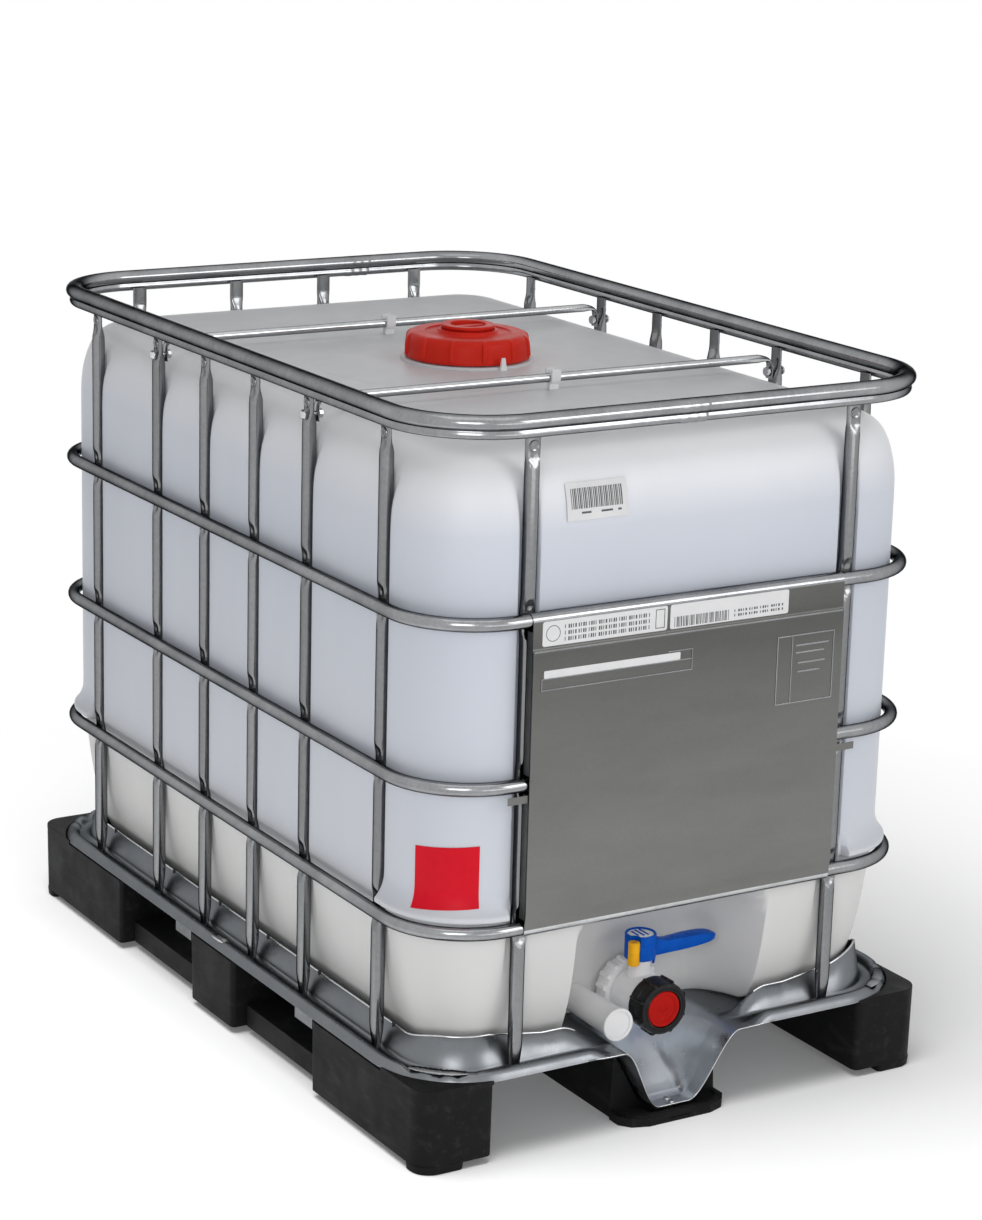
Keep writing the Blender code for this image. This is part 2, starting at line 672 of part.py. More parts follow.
def make_base_pan(finish):
    wall_outer = PAN_WALL_INSET - PAN_WALL_THICK
    wall_foot = wall_outer - PAN_WALL_SPLAY
    wall_base = PAN_WALL_INSET + PAN_SHEET
    under = PAN_GUTTER - PAN_SHEET
    rings = [pan_ring(inset, PAN_FLOOR, "floor") for inset in (*FLOOR_RINGS, wall_base)]
    rings += [pan_ring(inset, PAN_WALL_SIDE, "wall") for inset in (PAN_WALL_INSET, wall_outer)]
    top_stations = ((wall_foot, PAN_GUTTER), (PAN_BEAD_WIDTH, PAN_GUTTER),
                    (BEAD_INNER, PAN_BEAD_TOP - PAN_SHEET), (BEAD_CROWN, PAN_BEAD_TOP),
                    (BEAD_OUTER, PAN_BEAD_TOP - 2 * PAN_SHEET), (0.0, PAN_LIP + PAN_SHEET / 2))
    rings += [pan_ring(inset, level, "top") for inset, level in top_stations]
    under_stations = ((PAN_SHEET / 2, PAN_LIP), (BEAD_UNDER_OUTER, PAN_BEAD_TOP - 3 * PAN_SHEET),
                      (BEAD_CROWN, PAN_BEAD_TOP - PAN_SHEET),
                      (BEAD_UNDER_INNER, PAN_BEAD_TOP - 2 * PAN_SHEET),
                      (PAN_BEAD_WIDTH, under), (wall_foot, under))
    rings += [pan_ring(inset, level, "under") for inset, level in under_stations]
    below = PAN_FLOOR - PAN_SHEET
    rings += [pan_ring(inset, below, "floor") for inset in (wall_base, *reversed(FLOOR_RINGS))]
    return add_object("base_pan", skin(rings), finish)


def runner_stations():
    """Stations of a side runner: (y, inset of the outer face, bottom, top, inset of the inner face)."""
    seat = PAN_FLOOR - PAN_SHEET - GAP
    end_block = []
    for step in range(4):
        turn = math.radians(90.0 - 30.0 * step)
        y = HALF_L - RUNNER_CORNER + RUNNER_CORNER * math.sin(turn)
        inset = RUNNER_CORNER - RUNNER_CORNER * math.cos(turn)
        end_block.append((y, inset, RUNNER_BOTTOM, CORNER_POST_TOP, 0.0))
    end_block.append((BLOCK_INNER_END + BLOCK_DRAFT, 0.0, RUNNER_BOTTOM, CORNER_POST_TOP, 0.0))
    skid_end = (BLOCK_INNER_END, SKID_INSET, RUNNER_BOTTOM, SKID_TOP, SKID_INSET / 2)
    skid_start = (MID_BLOCK_HALF + BLOCK_DRAFT, SKID_INSET, RUNNER_BOTTOM, SKID_TOP, SKID_INSET / 2)
    block = (MID_BLOCK_HALF, 0.0, RUNNER_BOTTOM, seat, 0.0)
    half = end_block + [skid_end, skid_start, block]
    other = [(-station[0], *station[1:]) for station in reversed(half)]
    return half + other


def make_side_runner(name, sign, finish, pan_room):
    rings = []
    for y, outer_inset, bottom, top, inner_inset in runner_stations():
        outer = sign * (HALF_W - outer_inset)
        inner = sign * (HALF_W - RUNNER_WIDTH + inner_inset)
        rings.append([(inner, y, bottom), (outer, y, bottom), (outer, y, top), (inner, y, top)])
    runner = add_object(name, skin(rings), finish)
    combine(runner, pan_room, "DIFFERENCE")
    for index, end in enumerate((-1, 1), start=1):
        corner_x = HALF_W - RUNNER_CORNER
        corner_y = HALF_L - RUNNER_CORNER
        outline = [(HALF_W - PAD_WIDTH, HALF_L - PAD_LENGTH), (HALF_W, HALF_L - PAD_LENGTH)]
        for step in range(4):
            turn = math.radians(30.0 * step)
            outline.append((corner_x + RUNNER_CORNER * math.cos(turn),
                            corner_y + RUNNER_CORNER * math.sin(turn)))
        outline.append((HALF_W - PAD_WIDTH, HALF_L))
        scale_x = (HALF_W - GAP) / HALF_W
        scale_y = (HALF_L - GAP) / HALF_L
        placed = [(sign * x * scale_x, end * y * scale_y) for x, y in outline]
        rings = [[(x, y, level) for x, y in placed] for level in (0.0, RUNNER_BOTTOM + BLOCK_DRAFT)]
        combine(runner, add_cutter(f"pad_{name}_{index}", skin(rings)), "UNION")


def make_centre_runner(finish):
    """Skid with blocks, a foot plate in front and a notch that takes the trough."""
    seat = PAN_FLOOR - PAN_SHEET - GAP
    stops = (0.0,) + TROUGH_STOPS + (CENTRE_HALF_WIDTH,)
    across = [-stop for stop in reversed(stops[1:])] + list(stops)

    def section(y, half_width, ceiling, flare=0.0):
        scale = (half_width + flare) / CENTRE_HALF_WIDTH
        ring = [(-CENTRE_HALF_WIDTH * scale, y, 0.0), (CENTRE_HALF_WIDTH * scale, y, 0.0)]
        for x in reversed(across):
            room = PAN_FLOOR - PAN_SHEET - trough_drop(x, y) - TROUGH_PLAY
            top = ceiling
            if trough_drop(x, y) > 0.0:
                top = min(ceiling, room)
            ring.append((x * scale, y, top))
        return ring

    block_front = -HALF_L + CENTRE_BLOCK_FRONT
    nose = [(back - HALF_L, half) for back, half in CENTRE_NOSE] + [(block_front - GAP, CENTRE_HALF_WIDTH)]
    rings = [section(place, half, CENTRE_PLATE_HEIGHT, CENTRE_PLATE_FLARE) for place, half in nose]
    slope_places = [inset - HALF_L for inset in reversed(FLOOR_RINGS)]
    for place in (block_front, *slope_places, -BLOCK_INNER_END - BLOCK_DRAFT):
        rings.append(section(place, CENTRE_HALF_WIDTH, seat))
    for place, top in ((-BLOCK_INNER_END, SKID_TOP), (-MID_BLOCK_HALF - BLOCK_DRAFT, SKID_TOP),
                       (-MID_BLOCK_HALF, seat), (MID_BLOCK_HALF, seat),
                       (MID_BLOCK_HALF + BLOCK_DRAFT, SKID_TOP), (BLOCK_INNER_END, SKID_TOP),
                       (BLOCK_INNER_END + BLOCK_DRAFT, seat),
                       (HALF_L - RUNNER_CORNER, seat)):
        rings.append(section(place, CENTRE_HALF_WIDTH, top))
    rings.append(section(HALF_L - GAP, CENTRE_HALF_WIDTH - CENTRE_BACK_TAPER, seat))
    add_object("runner_centre", skin(rings), finish)


def make_runners(finish):
    clear = POST_PLAY
    outline = rounded_rectangle(HALF_W + clear, HALF_L + clear, PAN_CORNER + clear, CORNER_STEPS)
    seat = PAN_FLOOR - PAN_SHEET - GAP
    room = skin([[(x, y, level) for x, y in outline] for level in (seat, PAN_BEAD_TOP)])
    pan_room = add_cutter("cut_pan_room", room)
    make_side_runner("runner_left", -1, finish, pan_room)
    make_side_runner("runner_right", 1, finish, pan_room)
    make_centre_runner(finish)


def make_brackets(finish):
    """Sheet angles under the pan's gutter, beside the blocks."""
    top = PAN_GUTTER - PAN_SHEET - GAP
    outer = HALF_W - PAN_BEAD_WIDTH / 4
    outline = [(outer, top), (outer, top - BRACKET_DROP), (outer - BRACKET_SHEET, top - BRACKET_DROP),
               (outer - BRACKET_SHEET, top - BRACKET_SHEET), (outer - BRACKET_DEPTH, top - BRACKET_SHEET),
               (outer - BRACKET_DEPTH, top)]
    ends = (-BLOCK_INNER_END + BLOCK_DRAFT, MID_BLOCK_HALF + 2 * BLOCK_DRAFT)
    for side, sign in (("left", -1), ("right", 1)):
        for index, start in enumerate(ends, start=1):
            rings = [[(sign * x, y, z) for x, z in outline] for y in (start, start + BRACKET_LENGTH)]
            add_object(f"bracket_{side}_{index}", skin(rings), finish)


def bottle_levels():
    """Levels of the bottle: z, inset, how far the corners stand out, and if the cavity has it too."""
    hoop_top = HOOP_LOWER + TUBE_RADIUS
    taper = HOOP_LOWER - TUBE_RADIUS - LEDGE_TAPER_DROP
    levels = [(PAN_FLOOR + GAP + height, inset, 0.0, index % 2 == 0)
              for index, (height, inset) in enumerate(BOTTLE_FOOT)]
    levels.append((taper, BOTTLE_INSET + LEDGE_TAPER, 0.0, True))
    levels.append((hoop_top + LEDGE_START, BOTTLE_INSET, 0.0, False))
    levels.append((hoop_top + LEDGE_UNDER, BOTTLE_INSET, LEDGE_REACH, False))
    levels.append((hoop_top + LEDGE_OVER, BOTTLE_INSET, LEDGE_REACH, False))
    levels.append((hoop_top + LEDGE_END, BOTTLE_INSET, 0.0, True))
    levels += [(BOTTLE_DECK - drop, BOTTLE_INSET + extra, 0.0, index != 1)
               for index, (drop, extra) in enumerate(BOTTLE_SHOULDER)]
    return levels


def recess_inset(z):
    """How far the valve recess reaches in from the footprint at this level."""
    arch = smooth_step(RECESS_TOP, RECESS_TOP + RECESS_ARCH, z)
    return RECESS_DEPTH + (BOTTLE_INSET - RECESS_DEPTH) * arch


def bottle_ring(z, inset, ledge, wall):
    """One ring of the bottle's skin, wall metres inside the outer face."""
    half_x = HALF_W - inset - wall
    half_y = HALF_L - inset - wall
    centre_inset = max(BOTTLE_INSET + BOTTLE_CORNER, inset + BOTTLE_TOP_CORNER)
    radius = centre_inset - inset - wall
    groove_plane = UPRIGHT_INSET + TUBE_RADIUS + GROOVE_PLAY + wall
    depth = max(0.0, groove_plane - inset - wall)
    floor = GROOVE_HALF + wall
    mouth = floor + GROOVE_SLOPE
    scale_x = (HALF_W - centre_inset) / (HALF_W - BOTTLE_INSET - BOTTLE_CORNER)
    scale_y = (HALF_L - centre_inset) / (HALF_L - BOTTLE_INSET - BOTTLE_CORNER)

    def grooves(places, scale):
        stops = []
        for place in places:
            for offset, share in ((-mouth, 0.0), (-floor, 1.0), (floor, 1.0), (mouth, 0.0)):
                stops.append(((place + offset) * scale, share * depth))
        return stops

    recess = max(0.0, recess_inset(z) - inset)
    recess_stops = [(RECESS_HALF_MOUTH + wall, 0.0), (RECESS_HALF_FLOOR + wall, recess),
                    (RECESS_HALF_FLOOR / 2, recess)]
    front = grooves(FRONT_UPRIGHTS[:1], scale_x)
    front += [(-place * scale_x, depth_there) for place, depth_there in recess_stops]
    front += [(place * scale_x, depth_there) for place, depth_there in reversed(recess_stops)]
    front += grooves(FRONT_UPRIGHTS[1:], scale_x)
    outline = rounded_rectangle(half_x, half_y, radius, BOTTLE_CORNER_STEPS, front=front,
                                side=grooves(SIDE_UPRIGHTS, scale_y), back=grooves(BACK_UPRIGHTS, scale_x),
                                bulge=ledge)
    return [(x, y, z) for x, y in outline]


def make_bottle(finish):
    levels = bottle_levels()
    outer = skin([bottle_ring(z, inset, ledge, 0.0) for z, inset, ledge, shared in levels])
    bottle = add_object("bottle", outer, finish)
    inside = []
    for z, inset, ledge, shared in levels:
        if not shared:
            continue
        level = min(max(z, levels[0][0] + BOTTLE_WALL), BOTTLE_DECK - BOTTLE_WALL)
        extra = SHOULDER_THICKENING if z > BOTTLE_DECK - BOTTLE_SHOULDER[1][0] else 0.0
        inside.append(bottle_ring(level, inset + extra, 0.0, BOTTLE_WALL))
    cavity = add_cutter("cut_bottle_cavity", skin(inside))
    neck_profile = plain([(NECK_OUTER, BOTTLE_DECK - BOTTLE_WALL / 2), (NECK_OUTER, NECK_TOP)])
    neck = add_cutter("add_neck", turned_upright(neck_profile, (0.0, 0.0)))
    neck_bore_ends = (BOTTLE_DECK - 3 * BOTTLE_WALL, NECK_TOP + BOTTLE_WALL)
    neck_bore_profile = plain([(NECK_INNER, level) for level in neck_bore_ends])
    neck_bore = add_cutter("cut_neck", turned_upright(neck_bore_profile, (0.0, 0.0)))
    outlet_ends = (RECESS_Y + BOTTLE_WALL / 2, OUTLET_NECK_END)
    outlet_profile = plain([(OUTLET_NECK_RADIUS, place) for place in outlet_ends])
    outlet = add_cutter("add_outlet", turned_along_y(outlet_profile, (0.0, OUTLET_LEVEL)))
    bore_ends = (RECESS_Y + 4 * BOTTLE_WALL, OUTLET_NECK_END - BOTTLE_WALL)
    bore_profile = plain([(OUTLET_BORE, place) for place in bore_ends])
    outlet_bore = add_cutter("cut_outlet", turned_along_y(bore_profile, (0.0, OUTLET_LEVEL)))
    for tool in (neck, outlet):
        combine(bottle, tool, "UNION")
    for tool in (cavity, neck_bore, outlet_bore):
        combine(bottle, tool, "DIFFERENCE")


def make_lid(finish, seal_finish):
    inner = NECK_OUTER + THREAD_PLAY
    ribs = LID_RIB_HEIGHT
    tapered = LID_RADIUS - LID_TAPER
    profile = [(inner, LID_BOTTOM, 0.0), (LID_RADIUS, LID_BOTTOM, ribs), (tapered, LID_TOP - LID_TAPER, ribs),
               (tapered - LID_TAPER, LID_TOP, 0.0), (LID_COLLAR_RADIUS, LID_TOP, 0.0),
               (LID_COLLAR_RADIUS, COLLAR_TOP, 0.0), (PLUG_BORE, COLLAR_TOP, 0.0),
               (PLUG_BORE, LID_UNDER, 0.0), (inner, LID_UNDER, 0.0)]
    shape = turned_upright(profile, (0.0, 0.0), capped=False, ribs=LID_RIBS)
    add_object("lid", shape, finish, (0.0, 0.0, LID_BOTTOM))
    low = NECK_TOP + GAP
    high = low + SEAL_THICK
    ring = plain([(NECK_INNER, low), (NECK_OUTER, low), (NECK_OUTER, high), (NECK_INNER, high)])
    add_object("lid_seal", turned_upright(ring, (0.0, 0.0), capped=False), seal_finish, (0.0, 0.0, low))


def make_plug(finish, seal_finish):
    low = COLLAR_TOP + GAP
    head = low + PLUG_SEAL_THICK + GAP
    top = head + PLUG_HEAD_HEIGHT
    shank = PLUG_BORE - THREAD_PLAY
    profile = plain([(shank, head - PLUG_LENGTH), (shank, head), (PLUG_HEAD_RADIUS, head),
                     (PLUG_HEAD_RADIUS, top), (PLUG_RECESS_RADIUS, top),
                     (PLUG_RECESS_RADIUS, top - PLUG_RECESS_DEPTH)])
    plug = add_object("plug", turned_upright(profile, (0.0, 0.0)), finish, (0.0, 0.0, head))
    reach = PLUG_RECESS_RADIUS + (shank - PLUG_RECESS_RADIUS) / 2
    low_corner = (-reach, -PLUG_BAR_HALF, top - PLUG_RECESS_DEPTH - PLUG_BAR_HALF / 2)
    grip = add_cutter("add_plug_grip", box(low_corner, (reach, PLUG_BAR_HALF, top - PLUG_BAR_HALF / 2)))
    combine(plug, grip, "UNION")
    high = low + PLUG_SEAL_THICK
    ring = plain([(shank + THREAD_PLAY, low), (PLUG_HEAD_RADIUS, low), (PLUG_HEAD_RADIUS, high),
                  (shank + THREAD_PLAY, high)])
    add_object("plug_seal", turned_upright(ring, (0.0, 0.0), capped=False), seal_finish, (0.0, 0.0, low))


def make_lid_catch(finish):
    near = -(LID_RADIUS + LID_RIB_HEIGHT + CATCH_STANDOFF)
    base = BOTTLE_DECK + GAP
    low = [(-CATCH_WIDTH / 2, near - CATCH_THICK), (CATCH_WIDTH / 2, near - CATCH_THICK),
           (CATCH_WIDTH / 2, near), (-CATCH_WIDTH / 2, near)]
    middle = near - CATCH_THICK / 2
    top = [(x / 2, (y + middle) / 2) for x, y in low]
    levels = ((low, base), (top, base + CATCH_HEIGHT))
    rings = [[(x, y, level) for x, y in corners] for corners, level in levels]
    add_object("lid_catch", skin(rings), finish)


def make_valve_body(finish):
    axis = (0.0, OUTLET_LEVEL)
    flange_front = VALVE_BACK - VALVE_FLANGE_THICK
    thread_start = VALVE_FRONT + VALVE_THREAD_LENGTH
    profile = plain([(OUTLET_BORE, VALVE_BACK), (OUTLET_NECK_RADIUS, VALVE_BACK),
                     (OUTLET_NECK_RADIUS, flange_front), (VALVE_RADIUS, flange_front),
                     (VALVE_RADIUS, thread_start), (VALVE_THREAD_RADIUS, thread_start),
                     (VALVE_THREAD_RADIUS, VALVE_FRONT), (OUTLET_BORE, VALVE_FRONT)])
    body = add_object("valve_body", turned_along_y(profile, axis, capped=False), finish)
    wall_middle = OUTLET_LEVEL + (OUTLET_BORE + VALVE_RADIUS) / 2 - PAN_SHEET / 2
    boss_profile = plain([(STEM_BOSS_RADIUS, wall_middle), (STEM_BOSS_RADIUS, STEM_BOSS_TOP)])
    boss = add_cutter("add_stem_boss", turned_upright(boss_profile, (0.0, STEM_Y), STEM_SIDES))
    bore_radius = STEM_RADIUS + STEM_PLAY
    bore_ends = (OUTLET_LEVEL - STEM_FOOT_DEPTH, STEM_BOSS_TOP + STEM_RADIUS)
    bore_profile = plain([(bore_radius, level) for level in bore_ends])
    bore = add_cutter("cut_stem_bore", turned_upright(bore_profile, (0.0, STEM_Y), STEM_SIDES))
    combine(body, boss, "UNION")
    combine(body, bore, "DIFFERENCE")


def make_valve_parts(nut_finish, rubber, disc_finish):
    axis = (0.0, OUTLET_LEVEL)
    gasket_back = OUTLET_NECK_END - GAP
    gasket_front = gasket_back - GASKET_THICK
    gasket_outer = OUTLET_NECK_RADIUS
    ring = plain([(OUTLET_BORE, gasket_back), (gasket_outer, gasket_back), (gasket_outer, gasket_front),
                  (OUTLET_BORE, gasket_front)])
    add_object("valve_gasket", turned_along_y(ring, axis, capped=False), rubber)
    back = OUTLET_NECK_END + NUT_LAP
    seat = VALVE_BACK - VALVE_FLANGE_THICK - GAP
    front = seat - NUT_LIP
    inner = OUTLET_NECK_RADIUS + THREAD_PLAY
    lip_inner = VALVE_RADIUS + THREAD_PLAY
    outer = inner + NUT_WALL
    nut = plain([(inner, back), (outer, back), (outer, front), (lip_inner, front), (lip_inner, seat),
                 (inner, seat)])
    add_object("coupling_nut", turned_along_y(nut, axis, capped=False), nut_finish)
    pivot = (0.0, STEM_Y, OUTLET_LEVEL)
    foot = OUTLET_LEVEL - STEM_FOOT_DEPTH + STEM_PLAY
    stem = turned_upright(plain([(STEM_RADIUS, foot), (STEM_RADIUS, STEM_TOP)]), (0.0, STEM_Y), STEM_SIDES)
    add_object("valve_stem", stem, disc_finish, pivot)
    half = DISC_THICK / 2
    rim = DISC_RADIUS - half / 2
    profile = plain([(rim, STEM_Y + half), (DISC_RADIUS, STEM_Y + half / 2), (DISC_RADIUS, STEM_Y - half / 2),
                     (rim, STEM_Y - half)])
    disc = add_object("valve_disc", turned_along_y(profile, axis), disc_finish, pivot)
    low = OUTLET_LEVEL - DISC_HUB_HALF
    high = OUTLET_LEVEL + DISC_HUB_HALF
    hub_profile = plain([(DISC_HUB_RADIUS, low), (DISC_HUB_RADIUS, high)])
    hub = add_cutter("add_disc_hub", turned_upright(hub_profile, (0.0, STEM_Y), STEM_SIDES))
    hole_profile = plain([(STEM_RADIUS + GAP, low - STEM_RADIUS), (STEM_RADIUS + GAP, high + STEM_RADIUS)])
    hole = add_cutter("cut_disc_hub", turned_upright(hole_profile, (0.0, STEM_Y), STEM_SIDES))
    combine(disc, hub, "UNION")
    combine(disc, hole, "DIFFERENCE")


def lever_arm():
    """Blade of the handle, skinned over its sections."""
    rings = []
    for x, half, low, high in LEVER_SECTIONS:
        bottom = HUB_BOTTOM + low
        top = HUB_BOTTOM + high
        soft = min(half, top - bottom) / 3
        rings.append([(x, STEM_Y - half + soft, bottom), (x, STEM_Y + half - soft, bottom),
                      (x, STEM_Y + half, bottom + soft), (x, STEM_Y + half, top - soft),
                      (x, STEM_Y + half - soft, top), (x, STEM_Y - half + soft, top),
                      (x, STEM_Y - half, top - soft), (x, STEM_Y - half, bottom + soft)])
    return skin(rings)


def make_lever(finish, lock_finish):
    pivot = (0.0, STEM_Y, OUTLET_LEVEL)
    profile = plain([(HUB_RADIUS, HUB_BOTTOM), (HUB_RADIUS, HUB_TOP - HUB_SOFT),
                     (HUB_RADIUS - HUB_SOFT, HUB_TOP)])
    lever = add_object("lever", turned_upright(profile, (0.0, STEM_Y), HUB_SIDES), finish, pivot)
    combine(lever, add_cutter("add_lever_arm", lever_arm()), "UNION")
    socket_radius = STEM_RADIUS + GAP
    socket_profile = plain([(socket_radius, HUB_BOTTOM - STEM_RADIUS), (socket_radius, STEM_TOP + GAP)])
    socket = add_cutter("cut_stem_socket", turned_upright(socket_profile, (0.0, STEM_Y), STEM_SIDES))
    combine(lever, socket, "DIFFERENCE")
    place = (LOCK_OFFSET_X, STEM_Y + LOCK_OFFSET_Y)
    notch = LOCK_RADIUS + GAP
    notch_profile = plain([(notch, HUB_BOTTOM - LOCK_FOOT_DROP), (notch, HUB_TOP + LOCK_TOP_DROP)])
    notch_shape = turned_upright(notch_profile, place, LOCK_SIDES)
    combine(lever, add_cutter("cut_lock_notch", notch_shape), "DIFFERENCE")
    top = HUB_TOP - LOCK_TOP_DROP
    foot = HUB_BOTTOM - LOCK_FOOT_DROP
    lock_profile = plain([(LOCK_RADIUS, foot), (LOCK_RADIUS, top)])
    lock_shape = turned_upright(lock_profile, place, LOCK_SIDES)
    lock = add_object("lock_screw", lock_shape, lock_finish, (*place, foot))
    low = (place[0] - 2 * LOCK_RADIUS, place[1] - LOCK_SLOT_HALF, top - LOCK_SLOT_DEPTH)
    high = (place[0] + 2 * LOCK_RADIUS, place[1] + LOCK_SLOT_HALF, top + LOCK_SLOT_DEPTH)
    combine(lock, add_cutter("cut_lock_slot", box(low, high)), "DIFFERENCE")


def make_outlet_cap(finish, seal_finish):
    axis = (0.0, OUTLET_LEVEL)
    origin = (0.0, VALVE_FRONT, OUTLET_LEVEL)
    bore = VALVE_THREAD_RADIUS + THREAD_PLAY
    outer = bore + CAP_WALL
    ribs = CAP_RIB_HEIGHT
    seal_front = VALVE_FRONT - GAP - OUTLET_SEAL_FLANGE
    lip_back = seal_front - GAP
    front = lip_back - CAP_LIP
    back = front + CAP_LENGTH
    soft = CAP_LIP / 2
    profile = [(bore, back, 0.0), (outer, back, 0.0), (outer, back - soft, ribs), (outer, front + soft, ribs),
               (outer - soft, front, 0.0), (CAP_WINDOW, front, 0.0), (CAP_WINDOW, lip_back, 0.0),
               (bore, lip_back, 0.0)]
    cap = turned_along_y(profile, axis, capped=False, ribs=CAP_RIBS)
    add_object("outlet_cap", cap, finish, origin)
    back_face = VALVE_FRONT - GAP
    face = CAP_WINDOW - THREAD_PLAY
    face_front = seal_front - OUTLET_SEAL_FACE
    profile = plain([(VALVE_THREAD_RADIUS, back_face), (VALVE_THREAD_RADIUS, seal_front), (face, seal_front),
                     (face, face_front), (OUTLET_SEAL_DISH, face_front),
                     (OUTLET_SEAL_DISH_FLOOR, face_front + OUTLET_SEAL_FACE / 2)])
    add_object("outlet_seal", turned_along_y(profile, axis), seal_finish, origin)


def make_spout(finish):
    """Capped discharge spout kept beside the valve, its back end seated on the bottle."""
    back = RECESS_Y - GAP
    front = back - SPOUT_LENGTH
    rim_back = front + SPOUT_RIM_LENGTH
    place = (-SPOUT_OFFSET, PAN_FLOOR + SPOUT_ABOVE_FLOOR)
    profile = plain([(SPOUT_BACK_RADIUS, back), (SPOUT_FRONT_RADIUS, rim_back), (SPOUT_RIM_RADIUS, rim_back),
                     (SPOUT_RIM_RADIUS, front), (SPOUT_END_RADIUS, front),
                     (SPOUT_END_RADIUS, front + SPOUT_END_DEPTH)])
    add_object("discharge_spout", turned_along_y(profile, place), finish)


def make_trough_screws(finish, pan):
    """Round-headed screws that fix the trough's floor to the centre runner."""
    runner = bpy.data.objects["runner_centre"]
    flat_back = TROUGH_BACK - TROUGH_RUN
    surface = PAN_FLOOR - TROUGH_DEPTH
    head = surface + GAP
    for index, place in enumerate(TROUGH_SCREW_PLACES, start=1):
        y = -HALF_L + flat_back - place
        foot = CENTRE_PLATE_HEIGHT / 2
        profile = plain([(TROUGH_SCREW_RADIUS, foot), (TROUGH_SCREW_RADIUS, head), (TROUGH_SCREW_HEAD, head),
                         (TROUGH_SCREW_CROWN, head + TROUGH_SCREW_HEAD / 3),
                         (TROUGH_SCREW_RADIUS, head + TROUGH_SCREW_HEAD / 2)])
        add_object(f"trough_screw_{index}", turned_upright(profile, (0.0, y), SCREW_SIDES), finish)
        room = TROUGH_SCREW_RADIUS + SCREW_PLAY
        hole = plain([(room, foot - GAP), (room, surface + SCREW_RADIUS)])
        cutter = add_cutter(f"cut_trough_{index}", turned_upright(hole, (0.0, y), SCREW_SIDES))
        combine(pan, cutter, "DIFFERENCE")
        combine(runner, cutter, "DIFFERENCE")


def main():
    for old in list(bpy.data.objects):
        bpy.data.objects.remove(old)
    steel = material("steel", (0.45, 0.46, 0.47), 0.35, 1.0)
    plate = material("plate_steel", (0.30, 0.30, 0.29), 0.45, 1.0)
    zinc = material("zinc_screw", (0.62, 0.63, 0.64), 0.30, 1.0)
    milky = material("milky_plastic", (0.80, 0.82, 0.84), 0.40)
    white = material("white_plastic", (0.86, 0.86, 0.84), 0.45)
    black = material("black_plastic", (0.015, 0.015, 0.016), 0.55)
    cap_black = material("cap_black", (0.012, 0.012, 0.013), 0.40)
    red = material("lid_red", (0.72, 0.03, 0.02), 0.40)
    seal_red = material("seal_red", (0.75, 0.04, 0.03), 0.40)
    blue = material("lever_blue", (0.01, 0.11, 0.52), 0.40)
    yellow = material("lock_yellow", (0.85, 0.48, 0.03), 0.40)
    rubber = material("rubber", (0.03, 0.03, 0.03), 0.80)
    uprights = make_uprights(steel)
    make_hoops(steel)
    make_top_rim(steel)
    make_tie_bars(uprights, steel, zinc)
    make_bar_clips(white)
    make_label_plate(plate)
    pan = make_base_pan(steel)
    make_runners(black)
    make_brackets(steel)
    make_trough_screws(zinc, pan)
    make_bottle(milky)
    make_lid(red, rubber)
    make_plug(red, rubber)
    make_lid_catch(white)
    make_valve_body(white)
    make_valve_parts(white, rubber, white)
    make_lever(blue, yellow)
    make_outlet_cap(cap_black, seal_red)
    make_spout(white)


main()
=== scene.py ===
"""Looks of the intermediate bulk container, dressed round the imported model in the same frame."""
import math

import bmesh
import bpy
from mathutils import Matrix, Vector


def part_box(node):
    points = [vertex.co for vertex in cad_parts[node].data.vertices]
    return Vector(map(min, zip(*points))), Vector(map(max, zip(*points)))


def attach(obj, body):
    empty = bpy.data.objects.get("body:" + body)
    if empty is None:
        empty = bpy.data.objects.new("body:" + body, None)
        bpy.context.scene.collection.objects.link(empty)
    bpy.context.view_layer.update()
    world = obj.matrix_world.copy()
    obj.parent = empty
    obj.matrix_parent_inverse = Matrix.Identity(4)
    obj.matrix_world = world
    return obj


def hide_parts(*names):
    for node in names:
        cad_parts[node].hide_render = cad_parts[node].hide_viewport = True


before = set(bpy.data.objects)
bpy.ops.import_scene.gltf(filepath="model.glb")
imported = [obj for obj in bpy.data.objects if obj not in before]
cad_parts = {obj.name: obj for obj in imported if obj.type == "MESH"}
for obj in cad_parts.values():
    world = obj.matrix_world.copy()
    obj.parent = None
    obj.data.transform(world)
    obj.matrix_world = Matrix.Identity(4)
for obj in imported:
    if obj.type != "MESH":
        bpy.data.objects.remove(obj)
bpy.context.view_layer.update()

# Sizes in metres, most of them the solids' own
HALF_W = 0.4
HALF_L = 0.6
TUBE = 0.009
HOOP_INSET = 0.014
HOOP_CORNER = 0.114
HOOP_LOWER = 0.31
HOOP_MIDDLE = 0.502
HOOP_UPPER = 0.715
HOOPS = {"hoop_lower": HOOP_LOWER, "hoop_middle": HOOP_MIDDLE, "hoop_upper": HOOP_UPPER}
HOOP_Y = -HALF_L + HOOP_INSET
UPRIGHT_INSET = 0.028
SIDE_UPRIGHTS = (-0.432, -0.227, -0.075, 0.075, 0.227, 0.432)
FRONT_UPRIGHTS = (-0.246, 0.246)
BACK_UPRIGHTS = (-0.24, -0.076, 0.076, 0.24)
UPRIGHT_FOOT = 0.1138
UPRIGHT_TOP = 0.953
RIM_INSET = 0.015
RIM_CORNER = 0.125
DECK = 0.922
BAR_LEVEL = 0.9385
BAR_RADIUS = 0.006
PLATE_LEFT = -0.252
PLATE_HEM_LEFT = -0.234
PLATE_RIGHT = 0.228
PLATE_SHEET = 0.0012
PLATE_OUTER = 0.0105
PLATE_FACE = HOOP_Y - PLATE_OUTER
PLATE_PROUD = 0.002
PLATE_FOLD = 0.678
PAN_FLOOR = 0.1115
PAN_SHEET = 0.002
PAN_GUTTER = 0.1135
PAN_CORNER = 0.125
